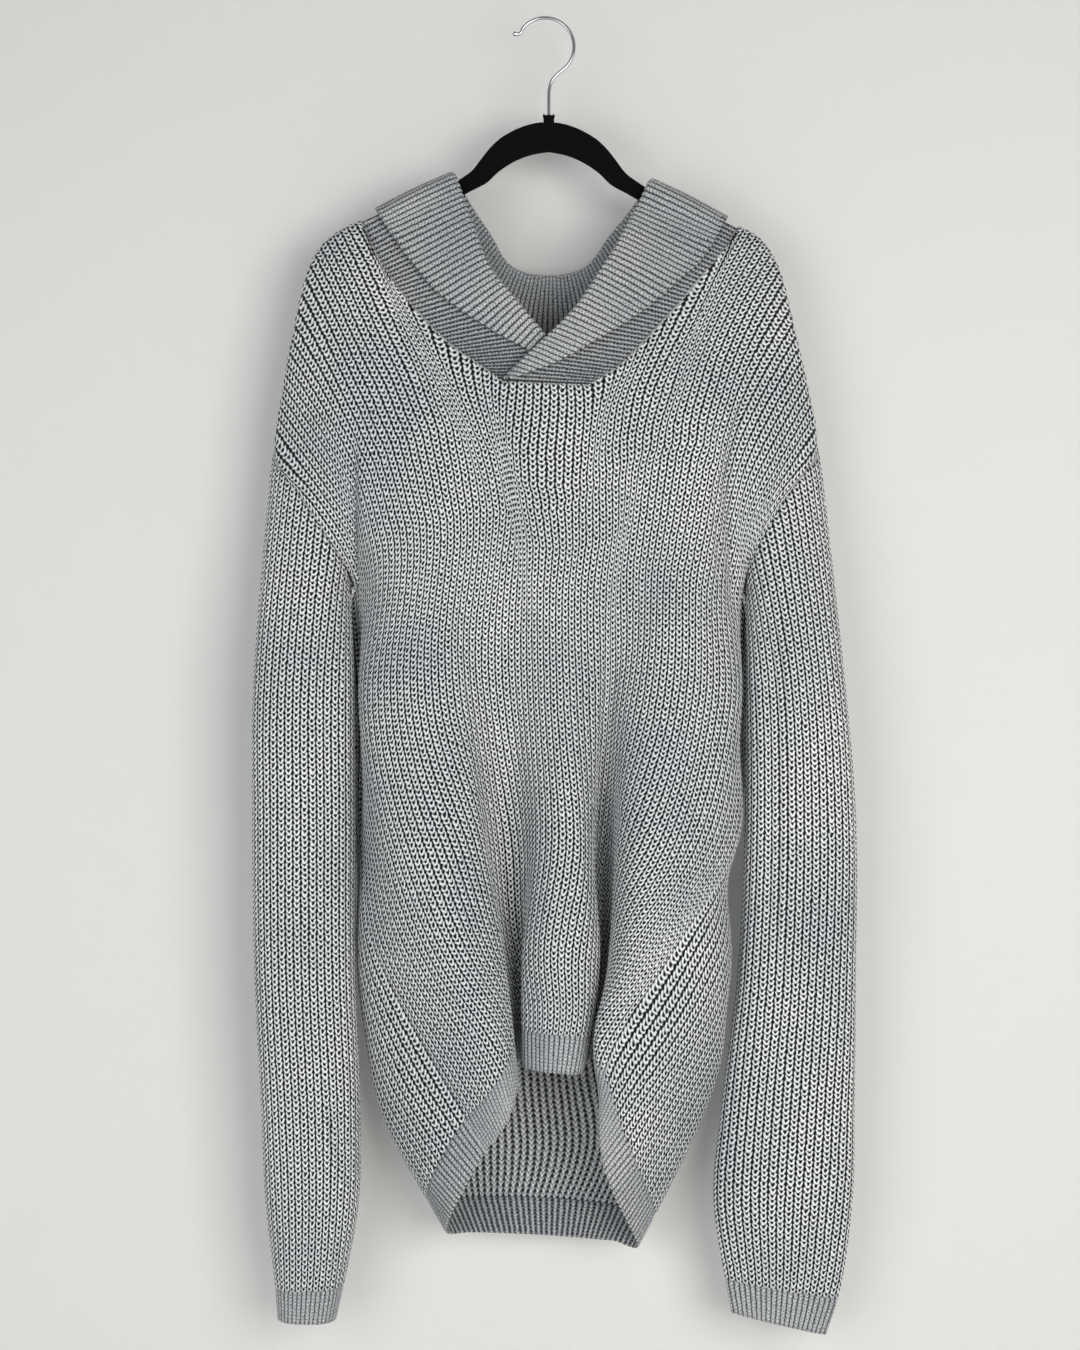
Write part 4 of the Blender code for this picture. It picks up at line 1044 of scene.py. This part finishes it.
collarCut = {
    "ribs": 168,
    "ridge": 0.5,
    "course": bodyCut["fineCourse"],
    "wall": 2.0,
    "foldRadius": 2.7,
    "standsOff": 5.2,  # between the middles of the leaf and the stand under it
    "belly": 1.2,  # how far the leaf bulges half way down
    "endTuck": 2.5,  # how far the left end lies behind the right one
    "tuckLength": 36.0,
    "standRows": 12,
    "foldRows": 7,
    "leafRows": 14,
    "selvedge": 0.45,
    "selvedgeDepth": 2.5,
}


def lieOver(points, under, outward):
    moved = points.copy()
    window = len(points) // 4
    for column, point in enumerate(points):
        first = max(0, column - window)
        near = under[first : column + window]
        place = np.unravel_index(np.argmin(np.linalg.norm(near - point, axis=2)), near.shape[:2])
        facing = outward[first + place[0]]
        short = collarCut["standsOff"] - np.dot(point - near[place], facing)
        moved[column] += max(short, 0.0) * facing
    return moved


def neckLine():
    # the seam from the right crest round, with the front's slopes at both ends
    nearPoint = bodyCut["neckPoint"] - 0.01  # the neck point itself is on the shoulder line
    slope = np.linspace(bodyCut["neckCorner"], nearPoint, 60)
    across = np.linspace(nearPoint, -nearPoint, 160)
    crests = np.array([shoulderRight[105], shoulderLeft[-105]], float)
    rightSlope, leftSlope = front.edge(slope), front.edge(-slope[::-1])
    return np.concatenate([rightSlope, crests[:1], back.edge(across), crests[1:], leftSlope])


def collarSurface(neck):
    marks, turned, leaf = (np.array([station[k] for station in collarStations], float) for k in range(3))
    length = lengths(neck)
    nearest = [length[np.argmin(np.linalg.norm(neck - mark, axis=1))] for mark in marks]
    nearest[0], nearest[-1] = 0.0, length[-1]
    steps = np.linalg.norm(np.diff(turned, axis=0), axis=1) + np.diff(nearest)
    knots = np.concatenate([[0.0], np.cumsum(steps)])
    knots /= knots[-1]
    at = np.linspace(0, 1, collarCut["ribs"] * bodyCut["samplesPerWale"] + 1)
    place = curve(knots, np.array(nearest)[:, None], at)[:, 0]
    root = onLine(neck, np.clip(place / length[-1], 0, 1))
    root[:, 1] -= collarCut["endTuck"] * ease(1 - (length[-1] - place) / collarCut["tuckLength"])
    apex = curve(knots, turned, at)
    edge = curve(knots, leaf, at)
    rise = unit(apex - root)
    outward = unit(np.cross(rise, np.gradient(apex, axis=0)))
    radius = collarCut["foldRadius"]
    standGrow = np.linspace(0, 1, collarCut["standRows"], endpoint=False)
    turnIn = apex - radius * rise - radius * outward
    stand = root[:, None] + standGrow[None, :, None] * (turnIn - root)[:, None]
    fold = np.radians(np.linspace(-90, 90, collarCut["foldRows"]))
    turn = [apex + radius * (np.cos(a) - 1) * rise + radius * np.sin(a) * outward for a in fold]
    under = np.concatenate([stand, turn[0][:, None]], axis=1)
    leafRows = []
    for grow in np.linspace(0, 1, collarCut["leafRows"] + 1)[1:]:
        swell = collarCut["belly"] * np.sin(np.pi * grow)
        leafRows.append(lieOver(turn[-1] + grow * (edge - turn[-1]) + swell * outward, under, outward))
    return np.concatenate([stand, np.stack(turn + leafRows, axis=1)], axis=1), at


def makeCollar():
    middle, at = collarSurface(neckLine())
    down = fallenLengths(middle)
    count = at * collarCut["ribs"]
    fade = ease((down[:, -1:] - down) / collarCut["selvedgeDepth"])
    relief = collarCut["ridge"] * ribWave(count)[:, None] * fade + collarCut["selvedge"] * (1 - fade)
    surface = middle + facings(middle) * relief[..., None]
    piece = clothPiece("collar", surface, count, down / collarCut["course"], "fine_rib", collarCut["wall"])
    printSize("collar", middle)
    return piece


collarPiece = makeCollar()
print("collar knitted")


# Linking: a chain of small yarn loops that closes the neckline's seam from outside
linking = {
    "spacing": 4.4,
    "loop": (1.9, 0.85, 0.8),  # half length, half width and half height of one loop
    "twist": 0.35,
    "proud": 1.3,
    "reach": 0.002,  # as a share of the seam, to read its direction
    "row": 2,  # of the front panel, just below the seam
}


def makeLinking(line, facing):
    count = int(lengths(line)[-1] / linking["spacing"])
    share = (np.arange(count) + 0.5) / count
    places, ups = onLine(line, share), unit(onLine(facing, share))
    ahead = onLine(line, np.minimum(share + linking["reach"], 1))
    ways = unit(ahead - onLine(line, np.maximum(share - linking["reach"], 0)))
    long, wide, high = linking["loop"]
    mesh = bmesh.new()
    for place, up, way in zip(places, ups, ways):
        beside = np.cross(up, way)
        for vert in bmesh.ops.create_icosphere(mesh, subdivisions=2, radius=1.0)["verts"]:
            a, b, c = vert.co
            at = place + way * a * long + beside * (b * wide + linking["twist"] * a)
            at = at + up * (c * high + linking["proud"])
            vert.co = (at[0] * mm, -at[1] * mm, at[2] * mm)
    bmesh.ops.recalc_face_normals(mesh, faces=mesh.faces)
    smoothFaces(mesh)
    return addPiece("neck_linking", mesh, "knit", yarnMade)


neckStart = int(np.argmin(np.abs(frontWales + bodyCut["neckPoint"]))) + 1
neckColumns = slice(neckStart, len(frontWales) - neckStart)
seamLine = frontMade["middle"][neckColumns, linking["row"]]
linkingPiece = makeLinking(seamLine, frontMade["facing"][neckColumns, linking["row"]])
print("neckline linked")


# Hanger: half outline as distance from its middle, top edge and bottom edge
hangerShape = {
    "half": (
        (0, -94.0, -122.0),
        (18, -97.0, -125.5),
        (34, -103.5, -132.5),
        (47, -112.0, -141.5),
        (57, -122.5, -151.0),
        (62, -129.0, -154.0),
        (70, -139.5, -158.0),
        (80, -147.2, -163.6),
        (120, -167.4, -184.0),
        (160, -187.6, -204.0),
        (185, -200.6, -216.5),
        (196, -208.6, -222.0),
        (202, -215.5, -221.5),
    ),
    "middle": 3.5,
    "tilt": math.radians(0.9),
    "thickness": 5.2,
    "rounding": 1.9,
    "bossRadius": 5.0,
    "bossTop": -88.0,
    "bossCorner": ((0, 2), (0.7, 0.6), (2, 0)),  # in and up from the corner
}
hookShape = {
    "wire": 3.2,
    "radius": 26.7,  # to the middle of the wire
    "start": 140.0,  # degrees round the circle where the tip curls away
    "end": -52.0,
    "step": 6.0,
    "tip": ((-29.5, -12.0), (-26.0, -13.6), (-22.6, -12.6)),
    "neck": ((11.5, -50.0), (6.4, -56.0), (4.0, -64.0), (3.5, -76.0), (3.5, -87.7)),
    # the ball at the tip: distance from its end, and thickness there in wires
    "ball": (
        (0.0, 0.25), (0.25, 0.7), (0.6, 1.05), (1.1, 1.3), (1.8, 1.45),
        (2.6, 1.42), (3.3, 1.25), (4.2, 1.05), (5.2, 1.0),
    ),
    "spacing": 2.2,
}


def makeHanger():
    half = np.array(hangerShape["half"], float)
    fine = curve(half[:, 0], half, np.linspace(0, half[-1, 0], 90))
    radius, top = hangerShape["bossRadius"], hangerShape["bossTop"]
    tops = [(x, upper) for x, upper, lower in fine if x > radius]
    lows = [(x, lower) for x, upper, lower in fine]
    outline = [(-radius, half[0, 1] - 1)] + [(x - radius, top + z) for x, z in hangerShape["bossCorner"]]
    outline += [(-x, z) for x, z in outline[::-1]]
    outline += tops + lows[::-1] + [(-x, z) for x, z in lows[1:]] + [(-x, z) for x, z in tops[::-1]]
    mesh = bmesh.new()
    drop = math.tan(hangerShape["tilt"])
    thick = hangerShape["thickness"] * mm
    places = [((x + hangerShape["middle"]) * mm, -thick / 2, (z - x * drop) * mm) for x, z in outline]
    face = mesh.faces.new([mesh.verts.new(place) for place in places])
    grown = bmesh.ops.extrude_face_region(mesh, geom=[face])
    moved = [item for item in grown["geom"] if isinstance(item, bmesh.types.BMVert)]
    bmesh.ops.translate(mesh, verts=moved, vec=(0, thick, 0))
    bmesh.ops.recalc_face_normals(mesh, faces=mesh.faces)
    rim = [edge for edge in mesh.edges if abs(edge.verts[0].co.y - edge.verts[1].co.y) < 1e-6]
    rounding = hangerShape["rounding"] * mm
    bmesh.ops.bevel(mesh, geom=rim, offset=rounding, segments=4, profile=0.5, affect="EDGES", material=-1)
    for face in mesh.faces:
        face.smooth = abs(face.normal.y) < 0.999
    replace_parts(addPiece("hanger", mesh, "flock", flockMade), "hanger_body")


def makeHook():
    radius = hookShape["radius"]
    angles = np.radians(np.arange(hookShape["start"], hookShape["end"] - 1, -hookShape["step"]))
    top = hookShape["wire"] / 2 - radius
    arc = [(radius * math.cos(a), top + radius * math.sin(a)) for a in angles]
    path = np.array(list(hookShape["tip"]) + arc + list(hookShape["neck"]), float)
    at = lengths(path)
    ballAt, ballWide = np.array(hookShape["ball"]).T
    along = np.concatenate([ballAt[:-1], np.arange(ballAt[-1], at[-1], hookShape["spacing"]), at[-1:]])
    data = bpy.data.curves.new("hook wire", "CURVE")
    data.dimensions = "3D"
    data.bevel_depth = hookShape["wire"] / 2 * mm
    data.bevel_resolution = 6
    data.use_fill_caps = True
    spline = data.splines.new("POLY")
    spline.points.add(len(along) - 1)
    for point, (x, z), wide in zip(spline.points, curve(at, path, along), np.interp(along, ballAt, ballWide)):
        point.co = (x * mm, 0.0, z * mm, 1.0)
        point.radius = wide
    wire = addObject("hook wire", data)
    mesh = bmesh.new()
    mesh.from_mesh(wire.to_mesh())
    bpy.data.objects.remove(wire)
    smoothFaces(mesh)
    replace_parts(addPiece("hook", mesh, "chrome", chromeMade), "hanger_hook")


makeHanger()
makeHook()
print("hanger made")


# Stage: a pale wall close behind the sweater and a pale floor below it
stageSettings = {"wallBehind": 0.066, "wallSize": 6.0, "floorBelow": -1.62}


def stagePlane(name, place, facing):
    mesh = bmesh.new()
    bmesh.ops.create_grid(mesh, x_segments=1, y_segments=1, size=stageSettings["wallSize"] / 2)
    turn = Vector((0, 0, 1)).rotation_difference(Vector(facing)).to_matrix()
    bmesh.ops.rotate(mesh, verts=mesh.verts, matrix=turn)
    bmesh.ops.translate(mesh, verts=mesh.verts, vec=place)
    addMesh(name, mesh, paintMade)


stagePlane("wall", (0, stageSettings["wallBehind"], 0), (0, -1, 0))
stagePlane("floor", (0, 0, stageSettings["floorBelow"]), (0, 0, 1))
